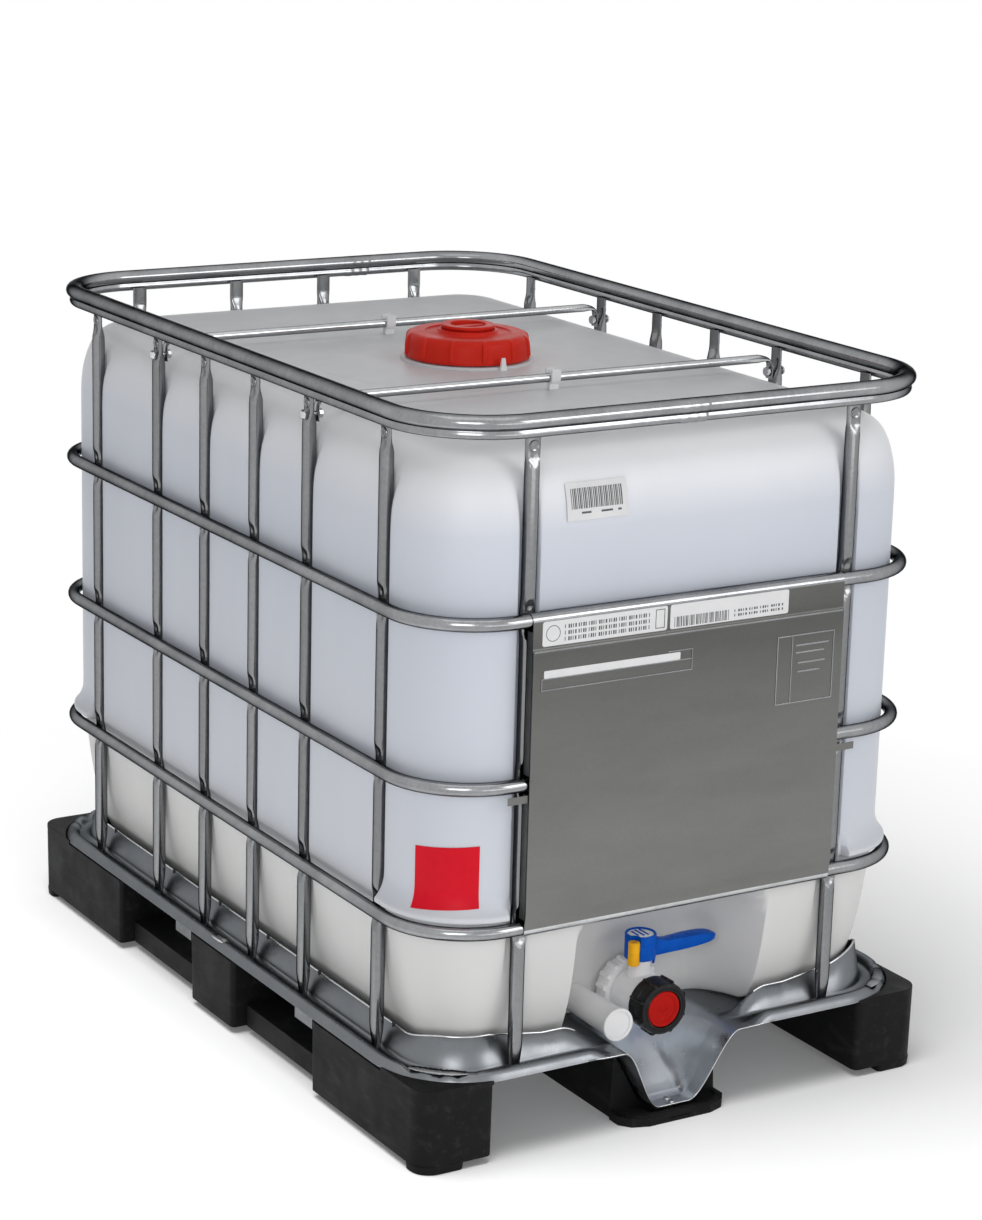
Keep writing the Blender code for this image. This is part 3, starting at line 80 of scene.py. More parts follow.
PAN_BEAD_TOP = 0.125
PAN_BEAD_WIDTH = 0.0215
PAN_LIP = 0.1122
PAN_WALL_SIDE = 0.154
PAN_WALL_DIP = 0.147
PAN_WALL_FRONT = 0.1445
PAN_WALL_CORNER = 0.157
PAN_WALL_RISE = 0.013
WALL_INSET = 0.046
TROUGH_DEPTH = 0.0945
TROUGH_TOP = 0.092
TROUGH_FLOOR = 0.024
TROUGH_BACK = -0.42
TROUGH_RUN = 0.14
TROUGH_SETBACK = 0.015
FRONT_APRON = 0.04
BOTTLE_INSET = 0.026
BOTTLE_CENTRE = 0.131
BOTTLE_BELLY = 0.0012
GROOVE_INSET = 0.0385
GROOVE_HALF = 0.0105
RECESS_INSET = 0.155
RECESS_HALF = 0.147
RECESS_RAMP = 0.01
RECESS_SWEEP = 0.06
RECESS_TOP = 0.306
RECESS_ROUND = 0.05
OUTLET_LEVEL = 0.14
STEM_Y = -0.49
HUB_RADIUS = 0.0215
HUB_BOTTOM = 0.1935
HUB_TOP = 0.2285
LOCK_RADIUS = 0.008
LOCK_PLACE = (-0.0193, STEM_Y - 0.0136)
SPOUT_PLACE = (-0.075, 0.1335)
RUNNER_BOTTOM = 0.01
RUNNER_TOP = 0.1092
RUNNER_INNER = 0.2905
RUNNER_OUTER = 0.3995
RUNNER_CORNER = 0.03
POST_TOP = 0.1155
SKID_TOP = 0.0445


def smooth(low, high, value):
    t = min(1.0, max(0.0, (value - low) / (high - low)))
    return t * t * (3.0 - 2.0 * t)


def mix(a, b, t):
    return a + (b - a) * t


def even_steps(low, high, count):
    """Even steps from low to high, both included."""
    return [mix(low, high, index / count) for index in range(count + 1)]


def polar(radius, turn):
    return radius * math.cos(turn), radius * math.sin(turn)


def curve_through(points, parts):
    """Points on a smooth line through the given ones, parts to each stretch."""
    made = []
    count = len(points)
    for index in range(count - 1):
        before = points[max(index - 1, 0)]
        start = points[index]
        end = points[index + 1]
        after = points[min(index + 2, count - 1)]
        for step in range(parts):
            t = step / parts
            made.append(tuple(
                b + 0.5 * t * (c - a + t * (2 * a - 5 * b + 4 * c - d + t * (3 * (b - c) + d - a)))
                for a, b, c, d in zip(before, start, end, after)))
    made.append(tuple(points[-1]))
    return made


# Materials


def feed(target, values):
    """Give a node's sockets, by name or number, a plain value or a link from another socket."""
    for key, value in values.items():
        if isinstance(value, bpy.types.NodeSocket):
            target.id_data.links.new(value, target.inputs[key])
        else:
            target.inputs[key].default_value = value


def add_node(tree, kind, values, **settings):
    made = tree.nodes.new("ShaderNode" + kind)
    for key, value in settings.items():
        setattr(made, key, value)
    feed(made, values)
    return made


def new_material(name):
    made = bpy.data.materials.new(name)
    made.use_nodes = True
    return made, made.node_tree, made.node_tree.nodes["Principled BSDF"]


def grey(share):
    return share, share, share


UNSTRETCHED = (1.0, 1.0, 1.0)


def own_place(tree):
    """Coordinates in the object's own space."""
    return add_node(tree, "TexCoord", {}).outputs["Object"]


def stretched(tree, stretch):
    return add_node(tree, "Mapping", {"Vector": own_place(tree), "Scale": stretch}).outputs["Vector"]


def noise(tree, scale, detail, stretch=UNSTRETCHED, rough=0.5):
    values = {"Vector": stretched(tree, stretch), "Scale": scale, "Detail": detail, "Roughness": rough}
    return add_node(tree, "TexNoise", values).outputs["Fac"]


def ramp(tree, source, stops):
    made = add_node(tree, "ValToRGB", {"Fac": source})
    elements = made.color_ramp.elements
    while len(elements) < len(stops):
        elements.new(0.5)
    for element, (place, colour) in zip(elements, stops):
        element.position = place
        element.color = (*colour, 1.0)
    return made.outputs["Color"]


def by_height(tree, stops):
    split = add_node(tree, "SeparateXYZ", {"Vector": own_place(tree)})
    return ramp(tree, split.outputs["Z"], stops)


def spread(tree, source, low, high, start=0.3, end=0.7):
    values = {"Value": source, "From Min": start, "From Max": end, "To Min": low, "To Max": high}
    return add_node(tree, "MapRange", values).outputs["Result"]


def combine(tree, kind, first, second):
    return add_node(tree, "Math", {0: first, 1: second}, operation=kind).outputs[0]


def blend_colour(tree, kind, amount, first, second):
    made = add_node(tree, "Mix", {0: amount}, data_type="RGBA", blend_type=kind)
    colours = [place for place, socket in enumerate(made.inputs) if socket.type == "RGBA"]
    feed(made, dict(zip(colours, (first, second))))
    return [socket for socket in made.outputs if socket.type == "RGBA"][0]


def add_bump(shader, height, strength, distance):
    values = {"Strength": strength, "Distance": distance, "Height": height}
    feed(shader, {"Normal": add_node(shader.id_data, "Bump", values).outputs["Normal"]})


def plastic(name, dark, light, roughness, scale=14.0, grain=700.0, relief=0.12, shine=0.5, scuff=None):
    """Moulded plastic, rubber, paper: soft mottling, uneven gloss, fine grain and, if scuffed, worn edges."""
    made, tree, shader = new_material(name)
    base = ramp(tree, noise(tree, scale, 5.0, rough=0.6), ((0.3, dark), (0.7, light)))
    if scuff:
        edge = add_node(tree, "NewGeometry", {}).outputs["Pointiness"]
        scratch = noise(tree, 60.0, 8.0, (1.0, 0.25, 1.0), 0.7)
        worn = combine(tree, "MULTIPLY", spread(tree, edge, 0.25, 1.0, 0.5, 0.56),
                       spread(tree, scratch, 0.0, 1.0, 0.52, 0.7))
        base = blend_colour(tree, "MIX", worn, base, (*scuff, 1.0))
    gloss = spread(tree, noise(tree, scale * 3.0, 6.0), *roughness)
    feed(shader, {"Base Color": base, "Roughness": gloss, "Specular IOR Level": shine})
    add_bump(shader, noise(tree, grain, 3.0), relief, 0.0004)
    return made


def metal(name, dark, light, roughness, spangle=150.0, streak=UNSTRETCHED, relief=0.06, crystal=0.12, rim=0.3,
          painted_shade_by_height=None):
    """Zinc-coated steel: crystal spangle, streaks along the roll, uneven gloss, darker grazing edges and, if
    given, painted shade by height.
    """
    made, tree, shader = new_material(name)
    cells = add_node(tree, "TexVoronoi", {"Vector": stretched(tree, UNSTRETCHED), "Scale": spangle})
    grains = ramp(tree, cells.outputs["Color"], ((0.0, grey(1.0 - crystal)), (1.0, grey(1.0))))
    base = ramp(tree, noise(tree, 12.0, 6.0, streak, 0.65), ((0.32, dark), (0.68, light)))
    base = blend_colour(tree, "MULTIPLY", 1.0, base, grains)
    # Painted shade: the colour is darkened by height, where given
    if painted_shade_by_height:
        shade = by_height(tree, [(level, grey(share)) for level, share in painted_shade_by_height])
        base = blend_colour(tree, "MULTIPLY", 1.0, base, shade)
    gloss = spread(tree, noise(tree, 30.0, 5.0, streak), *roughness)
    feed(shader, {"Base Color": base, "Roughness": gloss, "Metallic": 1.0,
                  "Specular Tint": (*grey(rim), 1.0)})
    add_bump(shader, noise(tree, 240.0, 3.0, streak), relief, 0.0005)
    return made


# Colour of the bottle by height: neutral at the foot, bluish above it, pale at the shoulder as a painted
# light where the rim shades it, grey on the deck as a painted shade
BOTTLE_COLOURS_AND_PAINTED_LIGHT = ((0.1, (0.66, 0.655, 0.645)), (0.29, (0.71, 0.705, 0.7)), (0.345, (0.63, 0.655, 0.715)),
                  (0.76, (0.625, 0.66, 0.735)), (0.82, (0.67, 0.7, 0.77)), (0.87, (0.86, 0.87, 0.91)),
                  (0.915, (0.92, 0.925, 0.94)), (0.922, (0.66, 0.67, 0.69)))


def bottle_plastic():
    """Milky blow-moulded wall with faint flow marks, coloured by height with a painted light at the shoulder
    and a painted shade on the deck.
    """
    made, tree, shader = new_material("milky_wall")
    cloud = noise(tree, 4.0, 4.0, (1.0, 1.0, 0.4))
    tint = ramp(tree, cloud, ((0.3, (0.94, 0.945, 0.95)), (0.7, grey(1.0))))
    base = blend_colour(tree, "MULTIPLY", 1.0, by_height(tree, BOTTLE_COLOURS_AND_PAINTED_LIGHT), tint)
    gloss = spread(tree, noise(tree, 30.0, 3.0, (1.0, 1.0, 0.12)), 0.36, 0.5)
    feed(shader, {"Base Color": base, "Roughness": gloss, "Subsurface Weight": 0.25,
                  "Subsurface Radius": (0.02, 0.02, 0.022), "Subsurface Scale": 0.6})
    add_bump(shader, noise(tree, 40.0, 3.0, (1.0, 1.0, 0.2)), 0.06, 0.001)
    return made


STEEL = metal("galvanised_tube", (0.26, 0.265, 0.275), (0.36, 0.368, 0.38), (0.13, 0.21), 220.0, relief=0.02,
              rim=0.07)
# Upright tube: streaks along its length, and a darker base than the hoops' tube, a painted shade
STEEL_UP = metal("galvanised_upright", (0.22, 0.223, 0.228), (0.3, 0.305, 0.312), (0.13, 0.22), 220.0,
                 (1.0, 1.0, 0.06), 0.02, rim=0.08)
# Pan sheet darkened by height from the trough up, to about a quarter on the wall and bead and less on the
# floor: a painted shade, with the lighter trough a painted light
PAN_STEEL = metal("galvanised_sheet", (0.7, 0.745, 0.8), (0.82, 0.855, 0.9), (0.26, 0.36), 90.0,
                  relief=0.008, crystal=0.06, rim=0.25, painted_shade_by_height=((0.085, 1.0), (0.1108, 0.6), (0.1125, 0.235)))
# Plate sheet darkened by height towards the fold under the upper hem: a painted shade
PLATE_STEEL = metal("rolled_sheet", (0.178, 0.178, 0.17), (0.208, 0.208, 0.201), (0.3, 0.42), 300.0,
                    (0.3, 1.0, 1.0), 0.02, 0.05,
                    painted_shade_by_height=((0.42, 1.0), (0.6, 0.8), (0.68, 0.58), (0.72, 0.72)))
# Bright zinc for the screws and the bead's crimped joints; on the lower hem, the pan's lip and its wall's
# roll it is a painted highlight
BRIGHT_ZINC_AND_HIGHLIGHT = metal("bright_zinc_and_highlight", (0.5, 0.51, 0.52), (0.68, 0.69, 0.7), (0.14, 0.28), relief=0.04)
BAR_STEEL = metal("zinc_rod", (0.44, 0.45, 0.46), (0.56, 0.57, 0.58), (0.14, 0.24), relief=0.02, rim=0.02)
MILKY = bottle_plastic()
WHITE = plastic("white_plastic", (0.78, 0.78, 0.785), (0.84, 0.84, 0.845), (0.34, 0.48), shine=0.4)
BLACK = plastic("pallet_black", (0.0045, 0.0045, 0.0048), (0.0085, 0.0085, 0.009), (0.5, 0.66), 8.0, 420.0,
                0.18, 0.12, (0.022, 0.022, 0.023))
CAP_BLACK = plastic("cap_black", (0.005, 0.005, 0.0055), (0.01, 0.01, 0.011), (0.28, 0.42), shine=0.2,
                    scuff=(0.03, 0.03, 0.032))
RED = plastic("lid_red", (0.6, 0.022, 0.012), (0.72, 0.032, 0.018), (0.3, 0.42), 10.0, shine=0.08,
              scuff=(0.66, 0.035, 0.022))
SEAL_RED = plastic("disc_red", (0.4, 0.006, 0.004), (0.48, 0.01, 0.006), (0.26, 0.4), 40.0, shine=0.06)
BLUE = plastic("lever_blue", (0.001, 0.07, 0.4), (0.002, 0.092, 0.5), (0.26, 0.4), 30.0, shine=0.06,
               scuff=(0.008, 0.12, 0.52))
YELLOW = plastic("lock_amber", (0.84, 0.4, 0.008), (0.94, 0.48, 0.012), (0.32, 0.46), 40.0, shine=0.15)
RUBBER = plastic("seal_rubber", (0.018, 0.018, 0.018), (0.035, 0.035, 0.035), (0.7, 0.85), 40.0)
PAPER = plastic("label_paper", (0.72, 0.72, 0.73), (0.78, 0.78, 0.79), (0.5, 0.6), 30.0, 900.0, 0.05)
PRINT = plastic("label_print", (0.05, 0.05, 0.055), (0.1, 0.1, 0.105), (0.5, 0.6), 60.0, 900.0, 0.05)
RED_PAPER = plastic("label_red", (0.62, 0.004, 0.016), (0.7, 0.008, 0.024), (0.34, 0.46), 24.0, 900.0, 0.05,
                    0.12)


# Mesh helpers


def new_object(name, data):
    made = bpy.data.objects.new(name, data)
    bpy.context.scene.collection.objects.link(made)
    return made


def new_mesh(name, shape, finish):
    mesh = bpy.data.meshes.new(name)
    shape.to_mesh(mesh)
    shape.free()
    mesh.materials.append(finish)
    return mesh


def skin(rings, capped=True, shape=None):
    """Join rings of equal point counts with quads, capped at both ends or closed on themselves."""
    shape = shape or bmesh.new()
    rows = [[shape.verts.new(point) for point in ring] for ring in rings]
    pairs = list(zip(rows, rows[1:]))
    if not capped:
        pairs.append((rows[-1], rows[0]))
    for low, high in pairs:
        for index in range(len(low)):
            after = (index + 1) % len(low)
            shape.faces.new((low[index], low[after], high[after], high[index]))
    if capped:
        shape.faces.new(rows[0])
        shape.faces.new(rows[-1])
    return shape


def piece(name, shape, finish, body="container", node=None, sharp=38.0, edge=0.0):
    """Add a shape to a body, in place of the solid of a node if one is named."""
    bmesh.ops.recalc_face_normals(shape, faces=shape.faces)
    mesh = new_mesh(name, shape, finish)
    mesh.shade_smooth()
    mesh.set_sharp_from_angle(angle=math.radians(sharp))
    made = new_object(name, mesh)
    if edge:
        soften(made, edge)
    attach(made, body)
    if node:
        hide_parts(node)


def soften(target, width, segments=2):
    step = target.modifiers.new("soft_edges", "BEVEL")
    step.width = width
    step.segments = segments
    step.limit_method = "ANGLE"
    step.angle_limit = math.radians(35)
    step.harden_normals = True


def paint(finish, *names, edge=0.0):
    for name in names:
        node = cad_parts[name]
        node.data.materials.clear()
        node.data.materials.append(finish)
        if edge:
            soften(node, edge)


def perimeter(half_x, half_y, radius, steps, front=(), side=(), back=()):
    """Points anticlockwise round a rounded rectangle: (x, y, outward x, outward y, side, place)."""
    points = [(x, -half_y, 0.0, -1.0, "front", x) for x in front]
    right = [(half_x, y, 1.0, 0.0, "side", y) for y in side]
    rear = [(x, half_y, 0.0, 1.0, "back", x) for x in reversed(back)]
    left = [(-half_x, y, -1.0, 0.0, "side", y) for y in reversed(side)]
    for sign_x, sign_y, start, after in ((1, -1, -90, right), (1, 1, 0, rear), (-1, 1, 90, left),
                                         (-1, -1, 180, [])):
        for index in range(steps + 1):
            turn = math.radians(start + 90.0 * index / steps)
            normal_x, normal_y = polar(1.0, turn)
            x = sign_x * (half_x - radius) + radius * normal_x
            y = sign_y * (half_y - radius) + radius * normal_y
            points.append((x, y, normal_x, normal_y, "corner", index / steps))
        points += after
    return points


def circle(radius, sides):
    return [polar(radius, 2.0 * math.pi * index / sides) for index in range(sides)]


def ring_round(half_x, half_y, radius, profile, steps=14):
    """Sweep a closed profile of (outward offset, height) points round a rounded rectangle."""
    rings = []
    for offset, level in profile:
        points = perimeter(half_x + offset, half_y + offset, radius + offset, steps)
        rings.append([(point[0], point[1], level) for point in points])
    return skin(rings, capped=False)


def turned(profile, place, axis="z", sides=64, capped=True, reach=None, shape=None):
    """Turn (radius, distance) points about an axis; reach bends the radius by a third value, if any."""
    rings = []
    for radius, along, *bend in profile:
        ring = []
        for index in range(sides):
            turn = 2.0 * math.pi * index / sides
            far = reach(radius, bend[0] if bend else 0.0, turn) if reach else radius
            u, v = polar(far, turn)
            if axis == "z":
                ring.append((place[0] + u, place[1] + v, along))
            elif axis == "y":
                ring.append((place[0] + u, along, place[1] + v))
            else:
                ring.append((along, place[0] + u, place[1] + v))
        rings.append(ring)
    return skin(rings, capped, shape)


def slab(low, high, shape=None):
    corners = ((low[0], low[1]), (high[0], low[1]), (high[0], high[1]), (low[0], high[1]))
    return skin([[(x, y, z) for x, y in corners] for z in (low[2], high[2])], shape=shape)


def raised(shape, face, box, lift):
    """Block standing proud of a front face over a box of (left, right, low, high)."""
    left, right, low, high = box
    slab((left, face - lift, low), (right, face, high), shape)


def ridges(count, half, blend, tall):
    """Radius bend for evenly spaced ribs, half and blend being shares of the pitch."""
    def reach(radius, share, turn):
        phase = (turn * count / (2.0 * math.pi)) % 1.0
        return radius + tall * share * (1.0 - smooth(half, half + blend, abs(phase - 0.5)))
    return reach


# Cage


def make_hoops():
    for name, level in HOOPS.items():
        profile = [(x, level + z) for x, z in circle(TUBE, 20)]
        shape = ring_round(HALF_W - HOOP_INSET, HALF_L - HOOP_INSET, HOOP_CORNER, profile)
        piece(name + "_tube", shape, STEEL, node=name)


# Steps between the rings of an upright, away from its foot, a hoop and its head
FOOT_STEPS = (0.0, 0.006, 0.012, 0.018, 0.026, 0.036)
HOOP_STEPS = (0.007, 0.011, 0.015, 0.019, 0.023, 0.028, 0.034)
HEAD_STEPS = (0.05, 0.042, 0.036, 0.031, 0.026, 0.021, 0.016, 0.011, 0.005, 0.0)


def upright_levels():
    levels = [UPRIGHT_FOOT + step for step in FOOT_STEPS]
    for hoop in HOOPS.values():
        levels += [hoop - step for step in reversed(HOOP_STEPS)]
        levels += [hoop + step for step in (0.0, *HOOP_STEPS)]
    return levels + [UPRIGHT_TOP - step for step in HEAD_STEPS]


# Pressed parts of an upright: how far they reach, how thin and wide they are and how deep their fold is
DENT_REACH = (0.007, 0.03)
FOOT_REACH = 0.036
HEAD_REACH = (0.024, 0.046)
DENT_DEPTH = 0.0046
FOOT_DEPTH = 0.0045
HEAD_DEPTH = 0.0042
HEAD_BACK = 0.0026
DENT_WIDEN = 0.0018
HEAD_WIDEN = 0.0024
FOOT_NARROW = 0.0015
FOLD_DEPTH = 0.0034
UPRIGHT_SQUARE = 0.35
UPRIGHT_FIT = 0.97
# Ring-shaped dimple below the rim: radius and rise over the pressed face, and where it stands
DIMPLE = ((0.0074, 0.0), (0.0073, 0.001), (0.0066, 0.0017), (0.0056, 0.0015), (0.004, 0.0004), (0.0016, 0.0))
DIMPLE_FACE = 0.0034
DIMPLE_DROP = 0.0185


def make_upright(name, x, y, outward):
    """Tube pressed flat at its foot and head, dented with a fold at each hoop, dimpled below the rim."""
    along = (-outward[1], outward[0])
    rings = []
    for level in upright_levels():
        dent = max(1.0 - smooth(*DENT_REACH, abs(level - hoop)) for hoop in HOOPS.values())
        foot = 1.0 - smooth(0.0, FOOT_REACH, level - UPRIGHT_FOOT)
        head = 1.0 - smooth(*HEAD_REACH, UPRIGHT_TOP - level)
        width = TUBE + DENT_WIDEN * dent + HEAD_WIDEN * head - FOOT_NARROW * foot
        out_depth = mix(mix(mix(TUBE, DENT_DEPTH, dent), HEAD_DEPTH, head), FOOT_DEPTH, foot)
        in_depth = mix(mix(TUBE, HEAD_BACK, head), FOOT_DEPTH, foot)
        fold = FOLD_DEPTH * (4.0 * dent * (1.0 - dent) + 3.4 * head * (1.0 - head))
        ring = []
        for u, v in circle(1.0, 24):
            squared = max(abs(u), abs(v)) ** UPRIGHT_SQUARE
            depth = v / squared * (out_depth if v > 0 else in_depth) * UPRIGHT_FIT
            if v > 0:
                depth -= fold * v ** 5
            across = u / squared * width * UPRIGHT_FIT
            ring.append((x + across * along[0] + depth * outward[0],
                         y + across * along[1] + depth * outward[1], level))
        rings.append(ring)
    shape = skin(rings)
    sign = outward[0] + outward[1]
    axis, base, place = ("x", x, y) if outward[0] else ("y", y, x)
    profile = [(radius, base + sign * (DIMPLE_FACE + rise)) for radius, rise in DIMPLE]
    turned(profile, (place, UPRIGHT_TOP - DIMPLE_DROP), axis, 24, shape=shape)
    piece(name + "_tube", shape, STEEL_UP, node=name, sharp=50.0)


def make_uprights():
    x = HALF_W - UPRIGHT_INSET
    y = HALF_L - UPRIGHT_INSET
    for index, place in enumerate(SIDE_UPRIGHTS, start=1):
        make_upright(f"upright_left_{index}", -x, place, (-1, 0))
        make_upright(f"upright_right_{index}", x, place, (1, 0))
    for index, place in enumerate(FRONT_UPRIGHTS, start=1):
        make_upright(f"upright_front_{index}", place, -y, (0, -1))
    for index, place in enumerate(BACK_UPRIGHTS, start=1):
        make_upright(f"upright_back_{index}", place, y, (0, 1))


# Outer half of the rim's section, from its top down: distance outwards and height
RIM_HALF = curve_through([(0.0, 0.978), (0.0072, 0.9766), (0.0118, 0.9728), (0.0132, 0.968), (0.0118, 0.9632),
                          (0.0082, 0.9598), (0.0066, 0.9584), (0.0074, 0.9562), (0.008, 0.9525),
                          (0.006, 0.9486), (0.0, 0.9468)], 2)
RIM_SECTION = RIM_HALF + [(-offset, level) for offset, level in reversed(RIM_HALF[1:-1])]
# Crimped joints of the rim: name, end of the cage, place across it
RIM_JOINTS = (("rim_joint_front", -1, -0.02), ("rim_joint_back", 1, 0.14))
JOINT_STEPS = 12
JOINT_PITCH = 0.0035
LOBE_TOP = 0.95


def make_top_rim():
    """Closed bead over a narrower lobe with a fold between them, crimped at its two joints."""
    shape = ring_round(HALF_W - RIM_INSET, HALF_L - RIM_INSET, RIM_CORNER, RIM_SECTION, steps=18)
    piece("top_rim_tube", shape, STEEL, node="top_rim")
    for name, sign, middle in RIM_JOINTS:
        rings = []
        for step in range(JOINT_STEPS + 1):
            swell = 0.0 if step in (0, JOINT_STEPS) else 0.0003 + 0.0005 * (step * 5 % 4) / 3.0
            x = middle + JOINT_PITCH * (step - JOINT_STEPS / 2)
            ring = []
            for offset, level in RIM_SECTION:
                side = 1.0 if offset > 0 else -1.0
                spread_out = swell * side * min(1.0, abs(offset) / 0.004)
                drop = -swell if level < LOBE_TOP else 0.0
                ring.append((x, sign * (HALF_L - RIM_INSET + offset + spread_out), level + drop))
            rings.append(ring)
        piece(name, skin(rings), STEEL, sharp=30.0)


# Flattened ends of the tie bars: gap to the upright, lower and upper level, half thickness and half width
TAB_GAP = 0.0018
TAB_LOW = 0.909
TAB_HIGH = 0.929
TAB_THICK = 0.0015
TAB_WIDTH = 0.008


def make_tie_bars():
    """Round bars across the deck, pressed flat at both ends and bent down to the uprights."""
    tab_x = HALF_W - UPRIGHT_INSET - TUBE - TAB_GAP
    half = curve_through([(tab_x, TAB_LOW, 0.0, TAB_THICK, TAB_WIDTH),
                          (tab_x, TAB_HIGH, 0.0, TAB_THICK, TAB_WIDTH),
                          (tab_x - 0.006, 0.9365, 0.9, 0.0034, 0.0072),
                          (tab_x - 0.022, BAR_LEVEL, 1.5708, BAR_RADIUS, BAR_RADIUS)], 5)
    for name, y in (("tie_bar_front", SIDE_UPRIGHTS[1]), ("tie_bar_rear", SIDE_UPRIGHTS[4])):
        rings = []
        for sign, stations in ((-1, half), (1, list(reversed(half)))):
            for x, z, turn, thick, width in stations:
                out, lift = polar(thick, turn)
                rings.append([(sign * (x + u * out), y + v * width, z + u * lift)
                              for u, v in circle(1.0, 16)])
        piece(name + "_rod", skin(rings), BAR_STEEL, node=name, sharp=50.0)


# Label plate


HEM_STEPS = 12
PANEL_LOW = HOOP_LOWER + 0.018
# Panel of the sheet between its hems: height and share of its proud step
PLATE_PANEL = ((PLATE_FOLD + 0.004, 0.0), (PLATE_FOLD + 0.0018, 0.0), (PLATE_FOLD + 0.0009, 0.25),
               (PLATE_FOLD - 0.0003, 0.85), (PLATE_FOLD - 0.0012, 1.0), (PLATE_FOLD - 0.005, 1.0),
               (PANEL_LOW + 0.004, 1.0), (PANEL_LOW, 0.9), (PANEL_LOW - 0.006, 0.35),
               (PANEL_LOW - 0.012, 0.0))


def plate_path(top, bottom):
    """Front of the sheet from the upper hem to the lower one as (y, z), with its fold and proud panel."""
    def hem(level, start, end):
        points = [polar(PLATE_OUTER, math.radians(turn)) for turn in even_steps(start, end, HEM_STEPS)]
        return [(HOOP_Y + u, level + v) for u, v in points]

    panel = [(PLATE_FACE - PLATE_PROUD * proud, level) for level, proud in PLATE_PANEL]
    return hem(HOOP_UPPER, top, 180.0) + panel + hem(HOOP_LOWER, 180.0, bottom)


def sheet_outline(path, thick):
    """Close a path into a thin sheet by stepping back along its normals."""
    behind = []
    for index, (y, z) in enumerate(path):
        before = path[max(index - 1, 0)]
        after = path[min(index + 1, len(path) - 1)]
        run_y = after[0] - before[0]
        run_z = after[1] - before[1]
        length = math.hypot(run_y, run_z)
        behind.append((y - run_z / length * thick, z + run_y / length * thick))
    return path + list(reversed(behind))


PRINT_LIFT = 0.0002


def bars(shape, face, box, count):
    """Upright bars of uneven width and spacing, standing a little proud of a front face."""
    left, right, low, high = box
    pitch = (right - left) / count
    for index in range(count):
        start = left + pitch * (index + 0.12 * (index * 3 % 4))
        width = pitch * (0.28 + 0.14 * (index * 5 % 3))
        raised(shape, face, (start, start + width, low, high), PRINT_LIFT)


def frame_lines(shape, face, box, line, lift):
    """Rectangular raised border."""
    left, right, low, high = box
    for part in ((left, right, low, low + line), (left, right, high - line, high),
                 (left, left + line, low + line, high - line),
                 (right - line, right, low + line, high - line)):
        raised(shape, face, part, lift)
    return shape


CARD_THICK = 0.0003


def card(face, box, thick=CARD_THICK, corner=0.003):
    """Label with rounded corners lying on a front face."""
    left, right, low, high = box
    middle_x = (left + right) / 2
    middle_z = (low + high) / 2
    outline = perimeter((right - left) / 2, (high - low) / 2, corner, 4)
    return skin([[(middle_x + point[0], y, middle_z + point[1]) for point in outline]
                 for y in (face - thick, face)])


EAR_LENGTH = 0.03
EAR_ROOT = 0.01
EAR_LEVELS = (0.481, 0.491)
RETURN_GAP = 0.013
RETURN_DEPTH = 0.0135
# Places on the plate as (left, right, low, high)
EMBOSS_BOX = (0.122, 0.214, 0.559, 0.652)
EMBOSS_RULE = (0.1455, 0.1468, 0.5606, 0.6504)
POCKET_BOX = (-0.24, -0.012, 0.6255, 0.6415)
POCKET_TAB = ((-0.05, -0.012, 0.653, 0.6544), (-0.0134, -0.012, 0.641, 0.653))
POCKET_CARD = (-0.236, -0.031, 0.6415, 0.6515)
LABEL_LEFT = (-0.2385, -0.052, 0.6825, 0.7145)
LABEL_RIGHT = (-0.0475, 0.138, 0.6825, 0.7145)
# Embossed lines as level, start and end, the lines' height, and what stands how far out of the sheet
EMBOSS_LINES = ((0.636, 0.152, 0.205), (0.626, 0.152, 0.198), (0.612, 0.156, 0.2), (0.6, 0.156, 0.192))
EMBOSS_LINE = 0.0022
EMBOSS_BORDER = 0.0016
EMBOSS_LIFT = 0.0007
RULE_LIFT = 0.0006
LINE_LIFT = 0.0005
FOLD_LIFT = 0.0003
POCKET_BORDER = 0.0014
POCKET_LIFT = 0.0008


